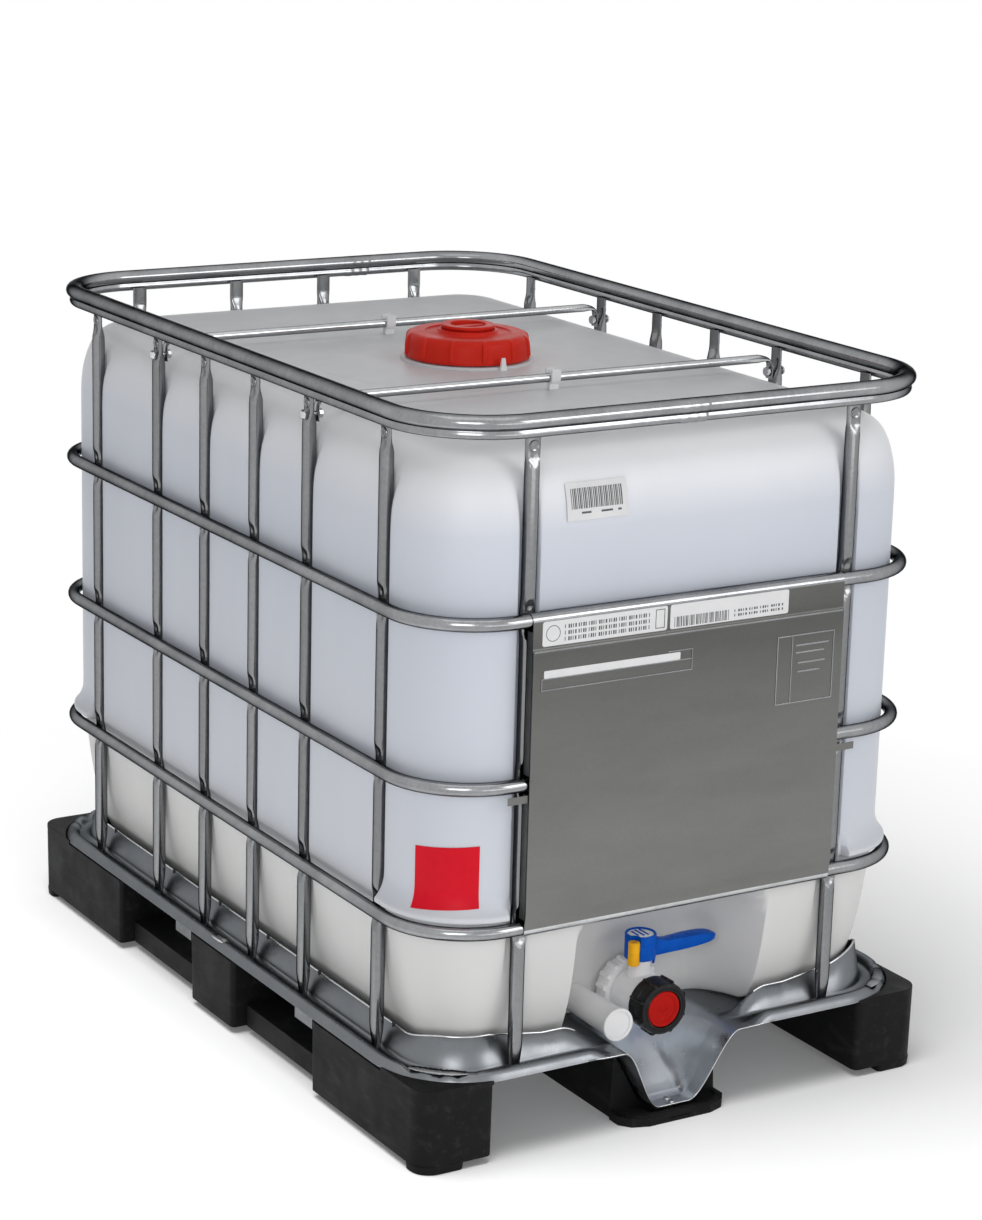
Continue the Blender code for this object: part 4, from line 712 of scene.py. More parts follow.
def make_plate():
    sheet = bmesh.new()
    upper = bmesh.new()
    lower = bmesh.new()
    for start, end, top, bottom in ((PLATE_LEFT, PLATE_HEM_LEFT, 95.0, 265.0),
                                    (PLATE_HEM_LEFT, PLATE_RIGHT, 40.0, 320.0)):
        path = plate_path(top, bottom)
        for part, target in ((path[:HEM_STEPS + 1], upper), (path[HEM_STEPS:-HEM_STEPS], sheet),
                             (path[-HEM_STEPS - 1:], lower)):
            outline = sheet_outline(part, PLATE_SHEET)
            skin([[(x, y, z) for y, z in outline] for x in (start, end)], shape=target)
    # Both hems are brighter than the sheet: the upper one in the glossier tube metal, partly a painted
    # highlight, the lower one in bright zinc, a painted highlight along its roll
    piece("plate_hem_upper", upper, STEEL, sharp=30.0)
    piece("plate_hem_lower", lower, BRIGHT_ZINC_AND_HIGHLIGHT, sharp=30.0)
    for low, high in ((PLATE_LEFT - EAR_LENGTH, PLATE_LEFT + EAR_ROOT),
                      (PLATE_RIGHT - EAR_ROOT, PLATE_RIGHT + EAR_LENGTH)):
        slab((low, PLATE_FACE + 0.0003, EAR_LEVELS[0]), (high, PLATE_FACE + 0.0009, EAR_LEVELS[1]), sheet)
    for low, high in ((HOOP_LOWER, HOOP_MIDDLE), (HOOP_MIDDLE, HOOP_UPPER)):
        slab((PLATE_LEFT, PLATE_FACE + PLATE_SHEET / 2, low + RETURN_GAP),
             (PLATE_LEFT + PLATE_SHEET, PLATE_FACE + RETURN_DEPTH, high - RETURN_GAP), sheet)
    piece("plate_sheet", sheet, PLATE_STEEL, node="label_plate", sharp=30.0)
    front = PLATE_FACE - PLATE_PROUD
    shape = frame_lines(bmesh.new(), front, EMBOSS_BOX, EMBOSS_BORDER, EMBOSS_LIFT)
    raised(shape, front, EMBOSS_RULE, RULE_LIFT)
    for level, start, end in EMBOSS_LINES:
        raised(shape, front, (start, end, level, level + EMBOSS_LINE), LINE_LIFT)
    # Strip along the fold in the brighter tube metal: a painted highlight on the fold's upward step
    fold = (PLATE_LEFT + 0.002, PLATE_RIGHT - 0.002, PLATE_FOLD - 0.0022, PLATE_FOLD - 0.0004)
    raised(shape, front, fold, FOLD_LIFT)
    piece("plate_emboss_and_fold_highlight", shape, STEEL, edge=0.0002)
    shape = frame_lines(bmesh.new(), front, POCKET_BOX, POCKET_BORDER, POCKET_LIFT)
    for box in POCKET_TAB:
        raised(shape, front, box, POCKET_LIFT)
    piece("plate_pocket", shape, STEEL, edge=0.0002)
    piece("pocket_card", card(front, POCKET_CARD, 0.0004, 0.0015), PAPER)
    piece("label_left", card(PLATE_FACE, LABEL_LEFT), PAPER)
    piece("label_right", card(PLATE_FACE, LABEL_RIGHT), PAPER)
    over = PLATE_FACE - CARD_THICK
    shape = bmesh.new()
    for level in (0.703, 0.695, 0.687):
        bars(shape, over, (-0.206, -0.078, level, level + 0.005), 34)
    frame_lines(shape, over, (-0.07, -0.056, 0.686, 0.711), 0.0009, PRINT_LIFT)
    bars(shape, over, (-0.041, 0.044, 0.6845, 0.698), 34)
    for level in (0.694, 0.688):
        bars(shape, over, (0.052, 0.13, level, level + 0.0032), 18)
    ring = [(0.0105, over), (0.0105, over - PRINT_LIFT), (0.0097, over - PRINT_LIFT), (0.0097, over)]
    turned(ring, (-0.223, 0.6985), "y", 32, capped=False, shape=shape)
    piece("label_print", shape, PRINT)


# Bottle


STOP_GAP = 0.004


def packed_stops(places, low, high, step, near):
    """Even stops from low to high with closer ones round each place."""
    count = round((high - low) / step)
    stops = [stop for stop in even_steps(low, high, count)
             if all(abs(stop - place) > near[-1] + STOP_GAP for place in places)]
    for place in places:
        around = [place + offset for offset in near] + [place - offset for offset in near] + [place]
        stops += [stop for stop in around if low <= stop <= high]
    return sorted(stops)


GROOVE_NEAR = (0.006, 0.0095, 0.0105, 0.0122, 0.014, 0.016, 0.0185, 0.0225, 0.028, 0.036)
RECESS_NEAR = (0.0025, 0.005, 0.0065, 0.0085, 0.011, 0.014, 0.018, 0.024, 0.03)
STRAIGHT_X = HALF_W - BOTTLE_CENTRE
STRAIGHT_Y = HALF_L - BOTTLE_CENTRE
END_GAP = 0.001
STOP_STEP = 0.016
SIDE_STOPS = packed_stops(SIDE_UPRIGHTS, END_GAP - STRAIGHT_Y, STRAIGHT_Y - END_GAP, STOP_STEP, GROOVE_NEAR)
BACK_STOPS = packed_stops(BACK_UPRIGHTS, END_GAP - STRAIGHT_X, STRAIGHT_X - END_GAP, STOP_STEP, GROOVE_NEAR)
FRONT_LEFT = packed_stops(FRONT_UPRIGHTS[:1], END_GAP - STRAIGHT_X, -0.186, STOP_STEP / 2, GROOVE_NEAR)
FRONT_LEFT += packed_stops((-RECESS_HALF,), -0.182, -0.004, STOP_STEP / 2, RECESS_NEAR)
FRONT_STOPS = FRONT_LEFT + [-stop for stop in reversed(FRONT_LEFT)]
# Wall of the bottle from its foot to the deck: height, inset from the footprint, any ledge at the corners
BOTTLE_ROWS = [
    (0.1118, 0.105), (0.1145, 0.09), (0.1225, 0.0735), (0.14, 0.063), (0.165, 0.054), (0.19, 0.047),
    (0.215, 0.042), (0.25, 0.0365), (0.283, 0.0325), (0.305, 0.03), (0.3195, 0.0275), (0.321, 0.027, 0.006),
    (0.3228, 0.0265, 0.0128), (0.325, 0.026, 0.0138), (0.3285, 0.026, 0.0138), (0.331, 0.026, 0.0124),
    (0.335, 0.026, 0.0088), (0.342, 0.026, 0.0046), (0.35, 0.026, 0.0018), (0.361, 0.026), (0.4, 0.026),
    (0.45, 0.026), (0.55, 0.026), (0.65, 0.026), (0.74, 0.026), (0.8, 0.026), (0.83, 0.0265),
    (0.852, 0.0292), (0.872, 0.0345), (0.889, 0.0415), (0.902, 0.051), (0.911, 0.0635), (0.917, 0.079),
    (0.9205, 0.098), (0.9218, 0.118), (DECK, 0.14)]
BOTTLE_CURVE = curve_through([(*row, 0.0)[:3] for row in BOTTLE_ROWS], 2)


def bottle_wall_at(z):
    """Inset of the bottle's wall and its corner ledge at a height."""
    for low, high in zip(BOTTLE_CURVE, BOTTLE_CURVE[1:]):
        if low[0] <= z <= high[0]:
            share = (z - low[0]) / (high[0] - low[0])
            return mix(low[1], high[1], share), mix(low[2], high[2], share)
    return BOTTLE_INSET, 0.0


RECESS_POWER = 2.5


def recess_share(x, z):
    """How much of the valve recess's depth holds at x and z: 1 inside its arched mouth, 0 outside."""
    over_x = abs(x) - (RECESS_HALF - RECESS_ROUND)
    over_z = z - (RECESS_TOP - RECESS_ROUND)
    if over_x > 0.0 and over_z > 0.0:
        inside = RECESS_ROUND - math.hypot(over_x, over_z)
    else:
        inside = RECESS_ROUND - max(over_x, over_z)
    share = min(1.0, max(0.0, (inside + RECESS_RAMP / 2) / RECESS_SWEEP))
    return 1.0 - (1.0 - share) ** RECESS_POWER


# How the grooves open out: everywhere, at the shoulder and at the foot, and the heights of the last two
GROOVE_BLEND = 0.006
SHOULDER_WIDEN = 0.03
FOOT_WIDEN = 0.024
SHOULDER = (0.845, 0.915)
FOOT_TAPER = (0.205, 0.145)


def groove_mouth(z):
    """Distance from an upright at which the wall is whole again; wider at the shoulder and the foot."""
    shoulder = SHOULDER_WIDEN * smooth(*SHOULDER, z) ** 2
    foot = FOOT_WIDEN * smooth(*FOOT_TAPER, z) ** 2
    return GROOVE_HALF + GROOVE_BLEND + shoulder + foot


# The belly between two uprights: heights where it starts and ends, and how it grows away from an upright
BELLY_START = (0.34, 0.4)
BELLY_END = (0.78, 0.86)
BELLY_OFF = (0.03, 0.08)
LEDGE_RUN = 0.004
LEAST_CORNER = 0.02
UPRIGHT_PLACES = {"front": FRONT_UPRIGHTS, "side": SIDE_UPRIGHTS, "back": BACK_UPRIGHTS}


def bottle_ring(z, inset, ledge):
    centre = max(BOTTLE_CENTRE, inset + LEAST_CORNER)
    scale_x = (HALF_W - centre) / STRAIGHT_X
    scale_y = (HALF_L - centre) / STRAIGHT_Y
    mouth = groove_mouth(z)
    belly = BOTTLE_BELLY * smooth(*BELLY_START, z) * (1.0 - smooth(*BELLY_END, z))
    ring = []
    for x, y, out_x, out_y, side, place in perimeter(HALF_W - inset, HALF_L - inset, centre - inset, 18,
                                                     FRONT_STOPS, SIDE_STOPS, BACK_STOPS):
        if side == "corner":
            depth = -ledge
        else:
            places = UPRIGHT_PLACES[side]
            off = min(abs(place - other) for other in places)
            depth = max(0.0, GROOVE_INSET - inset) * (1.0 - smooth(GROOVE_HALF, mouth, off))
            depth -= belly * smooth(*BELLY_OFF, off)
            depth -= ledge * smooth(GROOVE_HALF, GROOVE_HALF + LEDGE_RUN, abs(place) - places[-1])
            if side == "front":
                depth = max(depth, recess_share(place, z) * max(0.0, RECESS_INSET - inset))
            if side == "side":
                y *= scale_y
            else:
                x *= scale_x
        ring.append((x - out_x * depth, y - out_y * depth, z))
    return ring


NECK_FOOT = DECK - 0.004
DOME_FOOT = DECK - 0.002
DOME_TOP = DECK + 0.003


def make_bottle():
    rings = [bottle_ring(*station) for station in BOTTLE_CURVE]
    piece("bottle_wall", skin(rings), MILKY, node="bottle", sharp=60.0)
    dome = [(0.225, DOME_FOOT), (0.225, DECK + 0.0001), (0.205, DECK + 0.0004), (0.185, DECK + 0.0013),
            (0.165, DECK + 0.0024), (0.145, DOME_TOP), (0.093, DOME_TOP), (0.093, DOME_FOOT)]
    shape = turned(dome, (0.0, 0.0), sides=96, capped=False)
    piece("bottle_dome", shape, MILKY)
    neck = [(0.0725, NECK_FOOT), (0.0725, 0.95), (0.079, 0.95), (0.079, 0.9285), (0.0935, 0.9285),
            (0.0945, 0.9275), (0.0945, 0.9235), (0.0935, NECK_FOOT)]
    shape = turned(neck, (0.0, 0.0), capped=False)
    piece("bottle_neck", shape, MILKY, edge=0.0008)
    outlet = [(0.025, -0.44), (0.042, -0.44), (0.037, -0.448), (0.037, -0.462), (0.025, -0.462)]
    shape = turned(outlet, (0.0, OUTLET_LEVEL), "y", capped=False)
    piece("bottle_outlet", shape, MILKY, edge=0.0006)


def on_front(z, lift):
    return -HALF_L + bottle_wall_at(z)[0] - lift


# Barred sticker as (left, right, low, high), its bars as (first, pitch, low, high), its lines and its lifts
STICKER_BOX = (-0.193, -0.103, 0.833, 0.8795)
STICKER_BARS = (-0.1865, 0.00255, 0.8475, 0.8725)
STICKER_LINES = ((-0.172, -0.158), (-0.143, -0.126), (-0.118, -0.113))
STICKER_LIFT = BOTTLE_BELLY + 0.0006
STICKER_PRINT = BOTTLE_BELLY + 0.0008
# Red sticker round the corner: its heights, its turns in degrees and its tilt
RED_LEVELS = (0.3385, 0.42)
RED_TURNS = (204.0, 250.5)
RED_TILT = 0.003


def make_stickers():
    """Stickers that follow the bottle: a barred one at the front shoulder, a bare red one at a corner."""
    def strip(left, right, low, high, lift, shape, parts=10):
        rings = []
        for z in even_steps(low, high, parts):
            face = on_front(z, lift)
            back = on_front(z, lift - CARD_THICK)
            rings.append([(left, face, z), (right, face, z), (right, back, z), (left, back, z)])
        skin(rings, shape=shape)

    paper = bmesh.new()
    strip(*STICKER_BOX, STICKER_LIFT, paper)
    piece("sticker_front", paper, PAPER, sharp=60.0)
    printed = bmesh.new()
    first, pitch, low, high = STICKER_BARS
    for index in range(30):
        start = first + pitch * index
        strip(start, start + 0.0009 + 0.0004 * (index * 7 % 3), low, high, STICKER_PRINT, printed, 6)
    for start, end in STICKER_LINES:
        strip(start, end, 0.841, 0.8435, STICKER_PRINT, printed, 2)
    piece("sticker_bars", printed, PRINT, sharp=60.0)
    heights = even_steps(*RED_LEVELS, 24)
    rings = []
    for turn, tilt in zip(even_steps(*RED_TURNS, 12), even_steps(-RED_TILT, RED_TILT, 12)):
        ring = []
        for lift, levels in ((0.0006, heights), (0.0002, reversed(heights))):
            for z in levels:
                inset, ledge = bottle_wall_at(z + tilt)
                u, v = polar(BOTTLE_CENTRE - inset + ledge + lift, math.radians(turn))
                ring.append((u - STRAIGHT_X, v - STRAIGHT_Y, z + tilt))
        rings.append(ring)
    piece("sticker_red", skin(rings), RED_PAPER, sharp=60.0)


# Lid


def make_lid():
    profile = [(0.0802, 0.9302), (0.088, 0.9302), (0.0885, 0.9312, 0.3), (0.0885, 0.9345, 0.3),
               (0.0884, 0.9352, 1.0), (0.0882, 0.94, 1.0), (0.087, 0.951, 1.0), (0.0862, 0.956, 1.0),
               (0.0848, 0.9595, 0.9), (0.0825, 0.9622, 0.5), (0.0795, 0.9638, 0.12), (0.075, 0.9641),
               (0.062, 0.9641), (0.06, 0.9622), (0.0462, 0.9622), (0.0435, 0.9638),
               (0.0425, 0.9655), (0.0422, 0.9672), (0.0412, 0.9681), (0.031, 0.9681),
               (0.031, 0.9538), (0.0802, 0.9538)]
    shape = turned(profile, (0.0, 0.0), sides=432, capped=False, reach=ridges(12, 0.05, 0.03, 0.003))
    piece("lid_shell", shape, RED, "lid_body", "lid", sharp=40.0)
    low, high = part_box("plug")
    head = high.z - 0.0045
    profile = [(0.03, low.z), (0.03, head), (0.0372, head), (0.038, head + 0.0008), (0.038, high.z - 0.0012),
               (0.0368, high.z), (0.0262, high.z), (0.025, high.z - 0.0012), (0.0246, high.z - 0.0115),
               (0.01, high.z - 0.012)]
    shape = turned(profile, (0.0, 0.0))
    slab((-0.0255, -0.005, high.z - 0.0125), (0.0255, 0.005, high.z - 0.0025), shape)
    piece("plug_head", shape, RED, "plug_body", "plug", edge=0.0006)


# Pan


def trough_drop(x, y):
    across = smooth(-TROUGH_TOP, -TROUGH_FLOOR, -abs(x))
    along = min(1.0, max(0.0, (TROUGH_BACK - y) / TROUGH_RUN))
    return TROUGH_DEPTH * across * mix(along, smooth(0.0, 1.0, along), 0.2)


# Where the wall dips along the sides, rises along the front and sinks into the trough
SIDE_DIP = (0.36, 0.46)
FRONT_RISE = (0.19, 0.275)
TROUGH_SIDES = (0.09, 0.165)


def wall_level(x, y, out_x, out_y):
    """Top of the pan's wall: low in front, raised at the corners, gone at the trough."""
    side = mix(PAN_WALL_SIDE, PAN_WALL_DIP, smooth(*SIDE_DIP, abs(y)))
    front = mix(PAN_WALL_FRONT, PAN_WALL_CORNER, smooth(*FRONT_RISE, abs(x)))
    level = mix(side, front, smooth(0.0, 0.75, abs(out_y)))
    level += PAN_WALL_RISE * abs(2.0 * out_x * out_y) * smooth(0.0, 0.2, x)
    if y < -HALF_L + PAN_CORNER:
        level = mix(PAN_FLOOR + 0.0005, level, smooth(*TROUGH_SIDES, abs(x)))
    return level


PAN_HALF_STOPS = [0.005 * index for index in range(36)] + [0.185, 0.195]
PAN_STOPS = [-stop for stop in reversed(PAN_HALF_STOPS[1:])] + PAN_HALF_STOPS
# Ends of the bead beside the trough, and the folds pressed into it round the corners
BEAD_END = (0.104, 0.146)
CORNER_FOLDS = 6.0
CORNER_FOLD_DEPTH = 0.0056
CORNER_FOLD_REACH = (0.14, 0.3)
LEAST_PAN_CORNER = 0.015


def pan_ring(inset, level, kind):
    ring = []
    radius = max(PAN_CORNER - inset, LEAST_PAN_CORNER)
    for x, y, out_x, out_y, side, place in perimeter(HALF_W - inset, HALF_L - inset, radius, 24, PAN_STOPS):
        in_front = y < -HALF_L + PAN_CORNER
        bead = smooth(*BEAD_END, abs(x)) if in_front else 1.0
        z = level
        if kind == "wall":
            z = wall_level(x, y, out_x, out_y)
        elif kind == "top":
            z = mix(PAN_FLOOR, level, bead)
        elif kind == "under":
            z = mix(PAN_FLOOR - PAN_SHEET, level, bead)
        if kind in ("top", "under") and side == "corner" and inset < PAN_BEAD_WIDTH:
            fold = 0.5 + 0.5 * math.cos(place * 2.0 * math.pi * CORNER_FOLDS + 1.3 * math.sin(place * 9.0))
            share = smooth(*CORNER_FOLD_REACH, place) * smooth(*CORNER_FOLD_REACH, 1.0 - place)
            z -= CORNER_FOLD_DEPTH * fold * share * smooth(PAN_LIP, PAN_BEAD_TOP, z)
        z -= trough_drop(x, y)
        if in_front and inset < FRONT_APRON:
            dip = smooth(-TROUGH_TOP, -TROUGH_FLOOR, -abs(x))
            y += dip * TROUGH_SETBACK * (1.0 - inset / FRONT_APRON)
        ring.append((x, y, z))
    return ring


def wire_rings(line, radius):
    """Rings of a round wire along a closed line of points, the first one again at its end."""
    rings = []
    for index, point in enumerate(line):
        run = Vector(line[(index + 1) % len(line)]) - Vector(line[index - 1])
        inward = run.cross(Vector((0.0, 0.0, 1.0))).normalized()
        upward = inward.cross(run).normalized()
        rings.append([tuple(Vector(point) + inward * u + upward * v) for u, v in circle(radius, 8)])
    return rings + rings[:1]


# Crimped sleeve: swell of one ring after another, and half its width and height without and with it
CRIMP_SWELLS = (0.5, 1.0, 0.7, 1.0, 0.75, 1.0, 0.65, 0.9)
CRIMP_HALF = (0.0055, 0.0082)
CRIMP_TALL = (0.0012, 0.003)
CRIMP_LEVEL = PAN_BEAD_TOP - 0.0016


def crimp(line):
    """Unevenly pressed sleeve over the pan's bead along (x, y, outward x, outward y) points."""
    rings = []
    for step, (x, y, out_x, out_y) in enumerate(line):
        ends = min(step, len(line) - 1 - step) / (len(line) - 1)
        swell = CRIMP_SWELLS[step % len(CRIMP_SWELLS)] * smooth(0.0, 0.25, ends)
        half = mix(*CRIMP_HALF, swell)
        tall = mix(*CRIMP_TALL, swell)
        rings.append([(x + u * half * out_x, y + u * half * out_y, CRIMP_LEVEL + v * tall)
                      for u, v in circle(1.0, 16)])
    return skin(rings)


# Section of the pan from its floor to its lip and back underneath: inset from the footprint, height
PAN_FLOORS = (0.18, 0.1625, 0.145, 0.1275, 0.11, 0.0925, 0.075, 0.0625, 0.0505)
PAN_WALLS = (0.0488, 0.048, 0.0466, 0.0458)
PAN_TOP = ((0.0372, PAN_GUTTER + 0.0035), (0.035, PAN_GUTTER), (0.029, PAN_GUTTER), (0.0218, PAN_GUTTER),
           (0.02, 0.116), (0.0182, 0.1205), (0.0155, 0.1236), (0.0118, PAN_BEAD_TOP), (0.008, 0.1243),
           (0.0048, 0.1218), (0.0024, 0.118), (0.0008, 0.1145), (0.0, 0.1126))
PAN_UNDER = ((0.0008, PAN_LIP), (0.0028, 0.115), (0.0056, 0.1196), (0.0085, 0.1222), (0.0118, 0.1229),
             (0.015, 0.1215), (0.0172, 0.1185), (0.019, 0.1142), (0.0218, PAN_GUTTER - PAN_SHEET),
             (FRONT_APRON, PAN_GUTTER - PAN_SHEET))
# Wires along the pan's lip and its wall's top, in bright zinc as a painted highlight on the rolled edges:
# inset and radius, and where the wall's one starts
EDGE_INSET = 0.001
EDGE_LEVEL = 0.1128
EDGE_WIRE = 0.0009
ROLL_INSET = 0.0473
ROLL_WIRE = 0.0017
ROLL_START = 0.135
# Crimped joints of the bead, and thin dark strips on the wall beside the uprights, a painted shadow of the
# uprights
BEAD_INSET = 0.011
BEAD_JOINT_Y = -0.01
BEAD_JOINT_PITCH = 0.0034
CRIMP_TURNS = (246.0, 208.0)
SHADOW_STRIP_HALF = 0.0012
SHADOW_STRIP_DROP = 0.004
SIDE_SHADOW_STRIP = (0.0155, 0.0115)
FRONT_SHADOW_STRIP = (0.016, 0.0115)


def make_pan():
    rings = [pan_ring(inset, PAN_FLOOR, "floor") for inset in PAN_FLOORS]
    rings += [pan_ring(inset, 0.0, "wall") for inset in PAN_WALLS]
    rings += [pan_ring(inset, level, "top") for inset, level in PAN_TOP]
    rings += [pan_ring(inset, level, "under") for inset, level in PAN_UNDER]
    rings += [pan_ring(inset, PAN_FLOOR - PAN_SHEET, "floor") for inset in reversed(PAN_FLOORS)]
    piece("pan_sheet", skin(rings), PAN_STEEL, node="base_pan", sharp=85.0)
    # The lip wire and the wall's roll in bright zinc are painted highlights along the rolled edges
    edge = wire_rings(pan_ring(EDGE_INSET, EDGE_LEVEL, "top"), EDGE_WIRE)[:-1]
    piece("pan_edge", skin(edge, capped=False), BRIGHT_ZINC_AND_HIGHLIGHT, sharp=80.0)
    line = pan_ring(ROLL_INSET, 0.0, "wall")
    first = next(index for index, point in enumerate(line) if point[0] > ROLL_START)
    last = max(index for index, point in enumerate(line[:len(PAN_STOPS)]) if point[0] < -ROLL_START)
    rolled = wire_rings(line[first:] + line[:last + 1], ROLL_WIRE)[1:-1]
    piece("pan_wall_roll", skin(rolled), BRIGHT_ZINC_AND_HIGHLIGHT, sharp=80.0)
    for name, sign in (("bead_joint_left", -1), ("bead_joint_right", 1)):
        line = [(sign * (HALF_W - BEAD_INSET), BEAD_JOINT_Y + BEAD_JOINT_PITCH * (step - 5), sign, 0.0)
                for step in range(11)]
        piece(name, crimp(line), BRIGHT_ZINC_AND_HIGHLIGHT, sharp=40.0)
    for name, sign in (("bead_crimp_left", -1), ("bead_crimp_right", 1)):
        line = []
        for turn in even_steps(*CRIMP_TURNS, 20):
            out_x, out_y = polar(1.0, math.radians(turn))
            out_x *= -sign
            line.append((sign * (HALF_W - PAN_CORNER) + (PAN_CORNER - BEAD_INSET) * out_x,
                         PAN_CORNER - HALF_L + (PAN_CORNER - BEAD_INSET) * out_y, out_x, out_y))
        piece(name, crimp(line), STEEL, sharp=40.0)
    # Dark strips on the wall beside each upright, in the black rubber finish: a painted shadow, not slots in
    # the sheet
    shape = bmesh.new()
    y = WALL_INSET - HALF_L
    for place in SIDE_UPRIGHTS:
        for x in (WALL_INSET - HALF_W, HALF_W - WALL_INSET):
            slab((x - SHADOW_STRIP_HALF, place - SIDE_SHADOW_STRIP[0], PAN_GUTTER),
                 (x + SHADOW_STRIP_HALF, place - SIDE_SHADOW_STRIP[1], PAN_WALL_SIDE - SHADOW_STRIP_DROP), shape)
    for place in FRONT_UPRIGHTS:
        slab((place - FRONT_SHADOW_STRIP[0], y - SHADOW_STRIP_HALF, PAN_GUTTER),
             (place - FRONT_SHADOW_STRIP[1], y + SHADOW_STRIP_HALF, PAN_WALL_FRONT - SHADOW_STRIP_DROP), shape)
    piece("pan_shadow_strips", shape, RUBBER)


# Runners


def corner_rounded(x_low, x_high, y_low, y_high, radii, steps=6):
    """Rectangle with its own radius at each corner, from the low y, high x one anticlockwise."""
    points = []
    corners = ((x_high, y_low, -1, 1, -90), (x_high, y_high, -1, -1, 0), (x_low, y_high, 1, -1, 90),
               (x_low, y_low, 1, 1, 180))
    for (x, y, inward_x, inward_y, start), radius in zip(corners, radii):
        for index in range(steps + 1):
            turn = math.radians(start + 90.0 * index / steps)
            u, v = polar(radius, turn)
            points.append((x + inward_x * radius + u, y + inward_y * radius + v))
    return points


# Runner: the end of its blocks, the draft of their sides, its foot, skid and rib, and the round of its post
RUNNER_END = 0.5995
RUNNER_DRAFT = 0.0012
FOOT_RANGE = (0.3325, 0.399, 0.5555, 0.599)
SKID_RANGE = (0.301, 0.379, 0.069, 0.302)
RIB_RANGE = (0.301, 0.307, 0.069, 0.302)
POST_ROUND = 0.1262
POST_TURNS = (82.4, 7.6)


def end_outline(end, x_low, x_high, near, far, radii):
    """Rounded rectangle from near to far along one end; its radii are given for the front one."""
    if end > 0:
        radii = (radii[1], radii[0], radii[3], radii[2])
    y_low, y_high = sorted((end * near, end * far))
    return corner_rounded(x_low, x_high, y_low, y_high, radii)


def post_outline(end):
    """Corner post: inside along the pan's round edge, outside along the runner's own corner."""
    points = []
    for turn in even_steps(*POST_TURNS, 12):
        u, v = polar(POST_ROUND, math.radians(turn))
        points.append((min(RUNNER_OUTER, HALF_W - PAN_CORNER + u),
                       end * min(RUNNER_END, HALF_L - PAN_CORNER + v)))
    for turn in even_steps(0.0, 90.0, 8):
        u, v = polar(RUNNER_CORNER, math.radians(turn))
        points.append((RUNNER_OUTER - RUNNER_CORNER + u, end * (RUNNER_END - RUNNER_CORNER + v)))
    return points


def make_side_runner(name, sign):
    """Moulded runner: end blocks with corner posts and feet, a middle block and a skid between them."""
    shape = bmesh.new()

    def block(outline, z_low, z_high, draft=0.0):
        middle_x = sum(x for x, y in outline) / len(outline)
        middle_y = sum(y for x, y in outline) / len(outline)
        rings = []
        for level, shrink in ((z_low, draft), (z_high, 0.0)):
            ring = []
            for x, y in outline:
                scale = 1.0 - shrink / max(abs(x - middle_x), abs(y - middle_y))
                ring.append((sign * (middle_x + (x - middle_x) * scale), middle_y + (y - middle_y) * scale,
                             level))
            rings.append(ring)
        skin(rings, shape=shape)

    for end in (-1, 1):
        radii = (RUNNER_CORNER, 0.006, 0.006, 0.01)
        outline = end_outline(end, RUNNER_INNER, RUNNER_OUTER, 0.303, RUNNER_END, radii)
        block(outline, RUNNER_BOTTOM, RUNNER_TOP, RUNNER_DRAFT)
        block(end_outline(end, *FOOT_RANGE, (0.028, 0.008, 0.004, 0.006)), 0.0002, 0.0115, RUNNER_DRAFT)
        block(end_outline(end, *SKID_RANGE, (0.006,) * 4), 0.0125, SKID_TOP)
        block(end_outline(end, *RIB_RANGE, (0.0025,) * 4), 0.04, 0.052)
        block(post_outline(end), 0.108, POST_TOP)
    block(corner_rounded(RUNNER_INNER, RUNNER_OUTER, -0.0675, 0.0675, (0.008, 0.008, 0.006, 0.006)),
          RUNNER_BOTTOM, RUNNER_TOP, RUNNER_DRAFT)
    piece(name + "_moulding", shape, BLACK, node=name, edge=0.0022)


# Right half of the foot plate's front edge, from its middle outwards: distance back and x
FOOT_EDGE = ((0.0005, 0.045), (0.003, 0.056), (0.0085, 0.0675), (0.015, 0.0745), (0.0235, 0.0785),
             (0.033, 0.0795))
BORDER_WIDTH = 0.006


def make_foot_border():
    """Raised border round the front of the centre runner's foot plate."""
    edge = [(x, back - HALF_L) for back, x in FOOT_EDGE]
    rings = []
    for x, y in [(-x, y) for x, y in reversed(edge)] + edge:
        lean = BORDER_WIDTH * x / 0.08
        deep = BORDER_WIDTH * (1.0 - smooth(0.0, 0.03, y + HALF_L))
        section = ((0.0, 0.0, 0.006), (0.0, 0.0, 0.015), (0.25, 0.0004, 0.0158), (1.0, 0.0006, 0.0158),
                   (1.2, 0.0008, 0.013), (1.2, 0.0008, 0.006))
        rings.append([(x - share * lean, y + share * deep + back, level) for share, back, level in section])
    piece("foot_border", skin(rings), BLACK, sharp=35.0)


# Valve


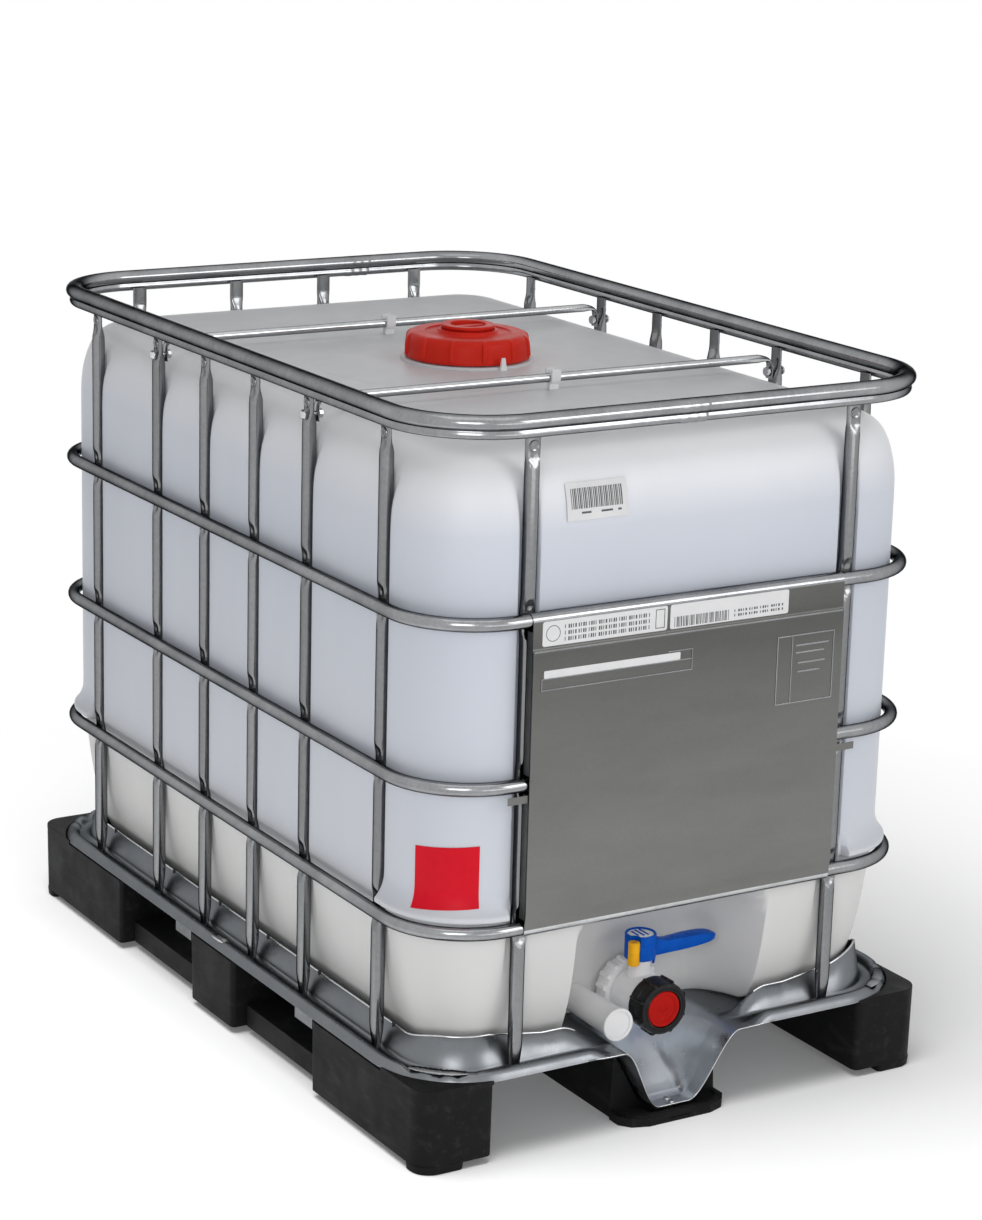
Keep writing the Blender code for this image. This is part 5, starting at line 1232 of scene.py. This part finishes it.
def make_valve():
    body = [(0.025, -0.4646), (0.037, -0.4646), (0.037, -0.4686), (0.0348, -0.4694), (0.033, -0.4715),
            (0.033, -0.5125), (0.0318, -0.5145), (0.03, -0.515), (0.03, -0.545), (0.025, -0.545)]
    shape = turned(body, (0.0, OUTLET_LEVEL), "y", capped=False)
    boss = [(0.0185, 0.158), (0.0175, 0.172), (0.0155, 0.177), (0.015, 0.18), (0.015, 0.1922),
            (0.0142, 0.1931)]
    turned(boss, (0.0, STEM_Y), shape=shape)
    piece("valve_casing", shape, WHITE, node="valve_body", edge=0.0005)
    low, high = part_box("coupling_nut")
    nut = [(0.0382, high.y), (0.0415, high.y), (0.0422, high.y - 0.0012, 1.0),
           (0.0422, low.y + 0.0025, 1.0), (0.0412, low.y), (0.0336, low.y),
           (0.0336, low.y + 0.0035), (0.0382, low.y + 0.0035)]
    shape = turned(nut, (0.0, OUTLET_LEVEL), "y", 192, capped=False, reach=ridges(16, 0.14, 0.1, 0.0026))
    piece("coupling_ring", shape, WHITE, node="coupling_nut", sharp=40.0)
    cap = [(0.031, -0.5202), (0.0356, -0.5202), (0.0365, -0.521), (0.0365, -0.5228, 0.9),
           (0.0365, -0.536, 1.0), (0.0358, -0.5366, 1.0), (0.0358, -0.5376, 1.0), (0.0365, -0.5382, 1.0),
           (0.0365, -0.5475, 1.0), (0.036, -0.5502, 0.7), (0.0346, -0.5524, 0.2), (0.0328, -0.553),
           (0.0306, -0.553), (0.03, -0.5522), (0.0288, -0.5522), (0.0282, -0.553),
           (0.0264, -0.553), (0.026, -0.5524), (0.026, -0.5486), (0.031, -0.5486)]
    shape = turned(cap, (0.0, OUTLET_LEVEL), "y", 192, capped=False, reach=ridges(8, 0.045, 0.035, 0.0031))
    piece("cap_shell", shape, CAP_BLACK, "outlet_cap_body", "outlet_cap", sharp=35.0)
    disc = [(0.0299, -0.5454), (0.0299, -0.5481), (0.0249, -0.5482), (0.0249, -0.5514), (0.0242, -0.5521),
            (0.0212, -0.5521), (0.0204, -0.5513), (0.0186, -0.5513), (0.018, -0.5504), (0.007, -0.5504),
            (0.0062, -0.551), (0.004, -0.5512), (0.0034, -0.5506), (0.0012, -0.5506)]
    shape = turned(disc, (0.0, OUTLET_LEVEL), "y")
    piece("disc_face", shape, SEAL_RED, "outlet_seal_body", "outlet_seal", sharp=35.0)
    spout = [(0.019, -0.4455), (0.0208, -0.5472), (0.0222, -0.5478), (0.0228, -0.5488), (0.0228, -0.5555),
             (0.0222, -0.5562), (0.0192, -0.5562), (0.0182, -0.5553), (0.0179, -0.5539), (0.005, -0.5537)]
    shape = turned(spout, SPOUT_PLACE, "y")
    piece("spout_tube", shape, WHITE, node="discharge_spout", sharp=35.0)


LOCK_PLAY = 0.0003


def clear_of_lock(radius, gap, turn):
    """Bend the hub's radius in where the lock stands, leaving a notch round it and a gap more."""
    away_x = LOCK_PLACE[0]
    away_y = LOCK_PLACE[1] - STEM_Y
    away = math.hypot(away_x, away_y)
    off = turn - math.atan2(away_y, away_x)
    across = away * math.sin(off)
    room = LOCK_RADIUS + LOCK_PLAY
    if abs(across) >= room or math.cos(off) < 0.0:
        return radius
    return min(radius, away * math.cos(off) - math.sqrt(room * room - across * across) - gap)


# Paddle of the handle: place along it, half width, and its lower and upper side over the hub's foot
PADDLE = ((0.012, 0.012, 0.001, 0.026), (0.022, 0.0122, 0.0006, 0.0255), (0.029, 0.0112, 0.0004, 0.0235),
          (0.036, 0.0102, 0.0004, 0.0212), (0.043, 0.0102, 0.0006, 0.0202), (0.056, 0.0113, 0.0012, 0.0205),
          (0.072, 0.0125, 0.0022, 0.021), (0.088, 0.013, 0.0036, 0.0208), (0.101, 0.013, 0.005, 0.02),
          (0.11, 0.0115, 0.0062, 0.0188), (0.116, 0.0092, 0.0074, 0.0172),
          (0.1192, 0.0058, 0.009, 0.0154), (0.1198, 0.0034, 0.0102, 0.0144))
PADDLE_SQUARE = 0.6
PRONG_TURNS = (200.0, 318.0)
PRONG_HALF = 9.0
PRONG_INNER = 0.0172
PRONG_OUTER = 0.0208
# Marks on the hub: place across it and half length; their half width, middle and levels
HUB_MARKS = ((-0.0075, 0.0085), (-0.0005, 0.0115), (0.0065, 0.0115))
MARK_HALF = 0.0013
MARK_Y = STEM_Y + 0.0025
MARK_LEVELS = (0.2264, 0.2278)
# Block set flush into the head of the lock screw: half length, half width, foot and head
LOCK_BLOCK = (0.0052, 0.0011, 0.2216, 0.2224)


def make_lever():
    hub = [(0.0205, HUB_BOTTOM), (HUB_RADIUS, HUB_BOTTOM + 0.001), (HUB_RADIUS, 0.215),
           (0.0209, 0.2156), (0.0209, 0.2166), (HUB_RADIUS, 0.2172), (HUB_RADIUS, 0.2272),
           (0.0206, HUB_TOP), (0.019, HUB_TOP, 0.0008), (0.0183, 0.2276, 0.0015),
           (0.0183, 0.2258, 0.0015)]
    shape = turned(hub, (0.0, STEM_Y), sides=120, reach=clear_of_lock)
    rings = []
    for x, half, low, high in PADDLE:
        middle = HUB_BOTTOM + (low + high) / 2
        ring = []
        for u, v in circle(1.0, 24):
            squared = max(abs(u), abs(v)) ** PADDLE_SQUARE
            ring.append((x, STEM_Y + u / squared * half, middle + v / squared * (high - low) / 2))
        rings.append(ring)
    skin(rings, shape=shape)
    for turn in PRONG_TURNS:
        start = math.radians(turn - PRONG_HALF)
        end = math.radians(turn + PRONG_HALF)
        corners = [polar(PRONG_INNER, start), polar(PRONG_OUTER, start), polar(PRONG_OUTER, end),
                   polar(PRONG_INNER, end)]
        skin([[(share * u, STEM_Y + share * v, level) for u, v in corners]
              for level, share in ((HUB_BOTTOM + 0.001, 1.0), (0.1885, 1.0), (0.1872, 0.97))], shape=shape)
    piece("lever_handle", shape, BLUE, "lever_body", "lever", sharp=40.0)
    inlay = [(0.0181, 0.2254, 0.0018), (0.0181, 0.2264, 0.0018), (0.0172, 0.2268, 0.0024),
             (0.01, 0.227, 0.0026), (0.004, 0.227, 0.0026)]
    shape = turned(inlay, (0.0, STEM_Y), sides=96, reach=clear_of_lock)
    piece("hub_inlay", shape, WHITE, "lever_body", edge=0.0003)
    shape = bmesh.new()
    for middle, half in HUB_MARKS:
        slab((middle - MARK_HALF, MARK_Y - half, MARK_LEVELS[0]),
             (middle + MARK_HALF, MARK_Y + half, MARK_LEVELS[1]), shape)
    piece("hub_marks", shape, BLUE, "lever_body", edge=0.0003)
    bolt = [(0.007, 0.1896), (0.0079, 0.1906), (0.0079, 0.2052), (0.0074, 0.2057), (0.0074, 0.2067),
            (0.0079, 0.2072), (0.0079, 0.2212), (0.007, 0.2224), (0.003, 0.2224)]
    shape = turned(bolt, LOCK_PLACE, sides=40)
    x, y = LOCK_PLACE
    half_x, half_y, low, high = LOCK_BLOCK
    slab((x - half_x, y - half_y, low), (x + half_x, y + half_y, high), shape)
    piece("lock_bolt", shape, YELLOW, "lock_body", "lock_screw", edge=0.0002)


def dress_nodes():
    paint(BRIGHT_ZINC_AND_HIGHLIGHT, *[f"tie_screw_{index}" for index in range(1, 5)], "trough_screw_1", "trough_screw_2")
    paint(STEEL, *[f"bracket_{side}_{index}" for side in ("left", "right") for index in (1, 2)])
    paint(WHITE, "bar_clip_front", "bar_clip_rear", "lid_catch", edge=0.0008)
    paint(WHITE, "valve_stem", "valve_disc")
    paint(BLACK, "runner_centre", edge=0.0015)
    paint(RUBBER, "lid_seal", "valve_gasket")
    paint(SEAL_RED, "plug_seal")


# Camera, light and floor


# Fitted to the photograph: focal length in its pixels, its height, and the camera's place and directions
FOCAL = 3188.69
PHOTO_HEIGHT = 1220.0
SENSOR = 36.0
CAMERA_PLACE = (-2.28088, -3.80912, 1.75313)
CAMERA_RIGHT = Vector((0.85625, -0.51591, 0.02594))
CAMERA_FORWARD = Vector((0.50411, 0.8236, -0.25993))


def make_camera():
    data = bpy.data.cameras.new("camera")
    data.sensor_width = SENSOR
    data.lens = FOCAL * SENSOR / PHOTO_HEIGHT
    camera = new_object("camera", data)
    turn = Matrix((CAMERA_RIGHT, CAMERA_RIGHT.cross(CAMERA_FORWARD), -CAMERA_FORWARD)).transposed()
    camera.matrix_world = Matrix.Translation(CAMERA_PLACE) @ turn.to_4x4()
    bpy.context.scene.camera = camera


def add_lamp(name, place, target, size, power):
    data = bpy.data.lights.new(name, "AREA")
    data.shape = "RECTANGLE"
    data.size = size[0]
    data.size_y = size[1]
    data.energy = power
    lamp = new_object(name, data)
    lamp.location = place
    lamp.rotation_euler = (Vector(target) - Vector(place)).to_track_quat("-Z", "Y").to_euler()
    return lamp


def seen_directly(tree):
    """1 for rays that should meet the plain white surroundings: from the eye, mirrored or through glass."""
    path = add_node(tree, "LightPath", {}).outputs
    mirrored = combine(tree, "MAXIMUM", path["Is Camera Ray"], path["Is Glossy Ray"])
    return combine(tree, "MAXIMUM", mirrored, path["Is Transmission Ray"])


WORLD_LIGHT = 0.34
FLOOR_VEIL = 0.11
FLOOR_FADE = (0.85, 1.5)
FLOOR_RADIUS = 14.0


def make_world():
    world = bpy.data.worlds.new("studio")
    world.use_nodes = True
    tree = world.node_tree
    strength = spread(tree, seen_directly(tree), WORLD_LIGHT, 1.0, 0.0, 1.0)
    feed(tree.nodes["Background"], {"Strength": strength, "Color": (*grey(1.0), 1.0)})
    bpy.context.scene.world = world


def floor_finish():
    """Pale floor that keeps the shadow near the object and runs out into the white surroundings."""
    made, tree, shader = new_material("floor_white")
    feed(shader, {"Base Color": (*grey(0.9), 1.0), "Roughness": 0.9, "Specular IOR Level": 0.0})
    seen = seen_directly(tree)
    veil = add_node(tree, "Emission", {"Strength": spread(tree, seen, 0.0, FLOOR_VEIL, 0.0, 1.0)})
    near = add_node(tree, "AddShader", {0: shader.outputs["BSDF"], 1: veil.outputs["Emission"]})
    away = add_node(tree, "VectorMath", {0: own_place(tree)}, operation="LENGTH")
    far = spread(tree, away.outputs["Value"], 0.0, 1.0, *FLOOR_FADE)
    white = add_node(tree, "Emission", {}).outputs["Emission"]
    share = combine(tree, "MULTIPLY", far, seen)
    both = add_node(tree, "MixShader", {0: share, 1: near.outputs[0], 2: white})
    feed(tree.nodes["Material Output"], {"Surface": both.outputs[0]})
    return made


# Lamps: name, place, target, size and power; the last one lights only the floor, the others all but it
LAMPS = (("key", (1.9, -3.9, 2.3), (0.0, 0.0, 0.6), (1.8, 1.8), 36.0),
         ("front", (0.5, -4.4, 0.75), (0.0, 0.0, 0.6), (3.0, 1.2), 12.0),
         ("side", (-1.9, -2.6, 1.5), (-0.2, -0.3, 0.55), (1.2, 1.2), 18.0),
         ("top", (-0.3, -0.6, 3.3), (0.0, 0.0, 0.9), (2.0, 2.0), 7.0),
         ("over_floor", (-0.9, -0.4, 3.3), (-0.3, -0.2, 0.0), (2.6, 2.6), 130.0))


def make_surroundings():
    make_world()
    shape = bmesh.new()
    bmesh.ops.create_circle(shape, cap_ends=True, segments=96, radius=FLOOR_RADIUS)
    floor = new_object("floor", new_mesh("floor", shape, floor_finish()))
    only_floor = bpy.data.collections.new("only_floor")
    only_floor.objects.link(floor)
    all_but_floor = bpy.data.collections.new("all_but_floor")
    all_but_floor.objects.link(floor)
    all_but_floor.collection_objects[0].light_linking.link_state = "EXCLUDE"
    lamps = [add_lamp(*row) for row in LAMPS]
    for lamp in lamps[:-1]:
        lamp.light_linking.receiver_collection = all_but_floor
    lamps[-1].light_linking.receiver_collection = only_floor
    bpy.context.scene.view_settings.view_transform = "Standard"


def main():
    make_camera()
    make_surroundings()
    make_hoops()
    make_uprights()
    make_top_rim()
    make_tie_bars()
    make_plate()
    make_bottle()
    make_stickers()
    make_lid()
    make_pan()
    make_side_runner("runner_left", -1)
    make_side_runner("runner_right", 1)
    make_foot_border()
    make_valve()
    make_lever()
    dress_nodes()


main()
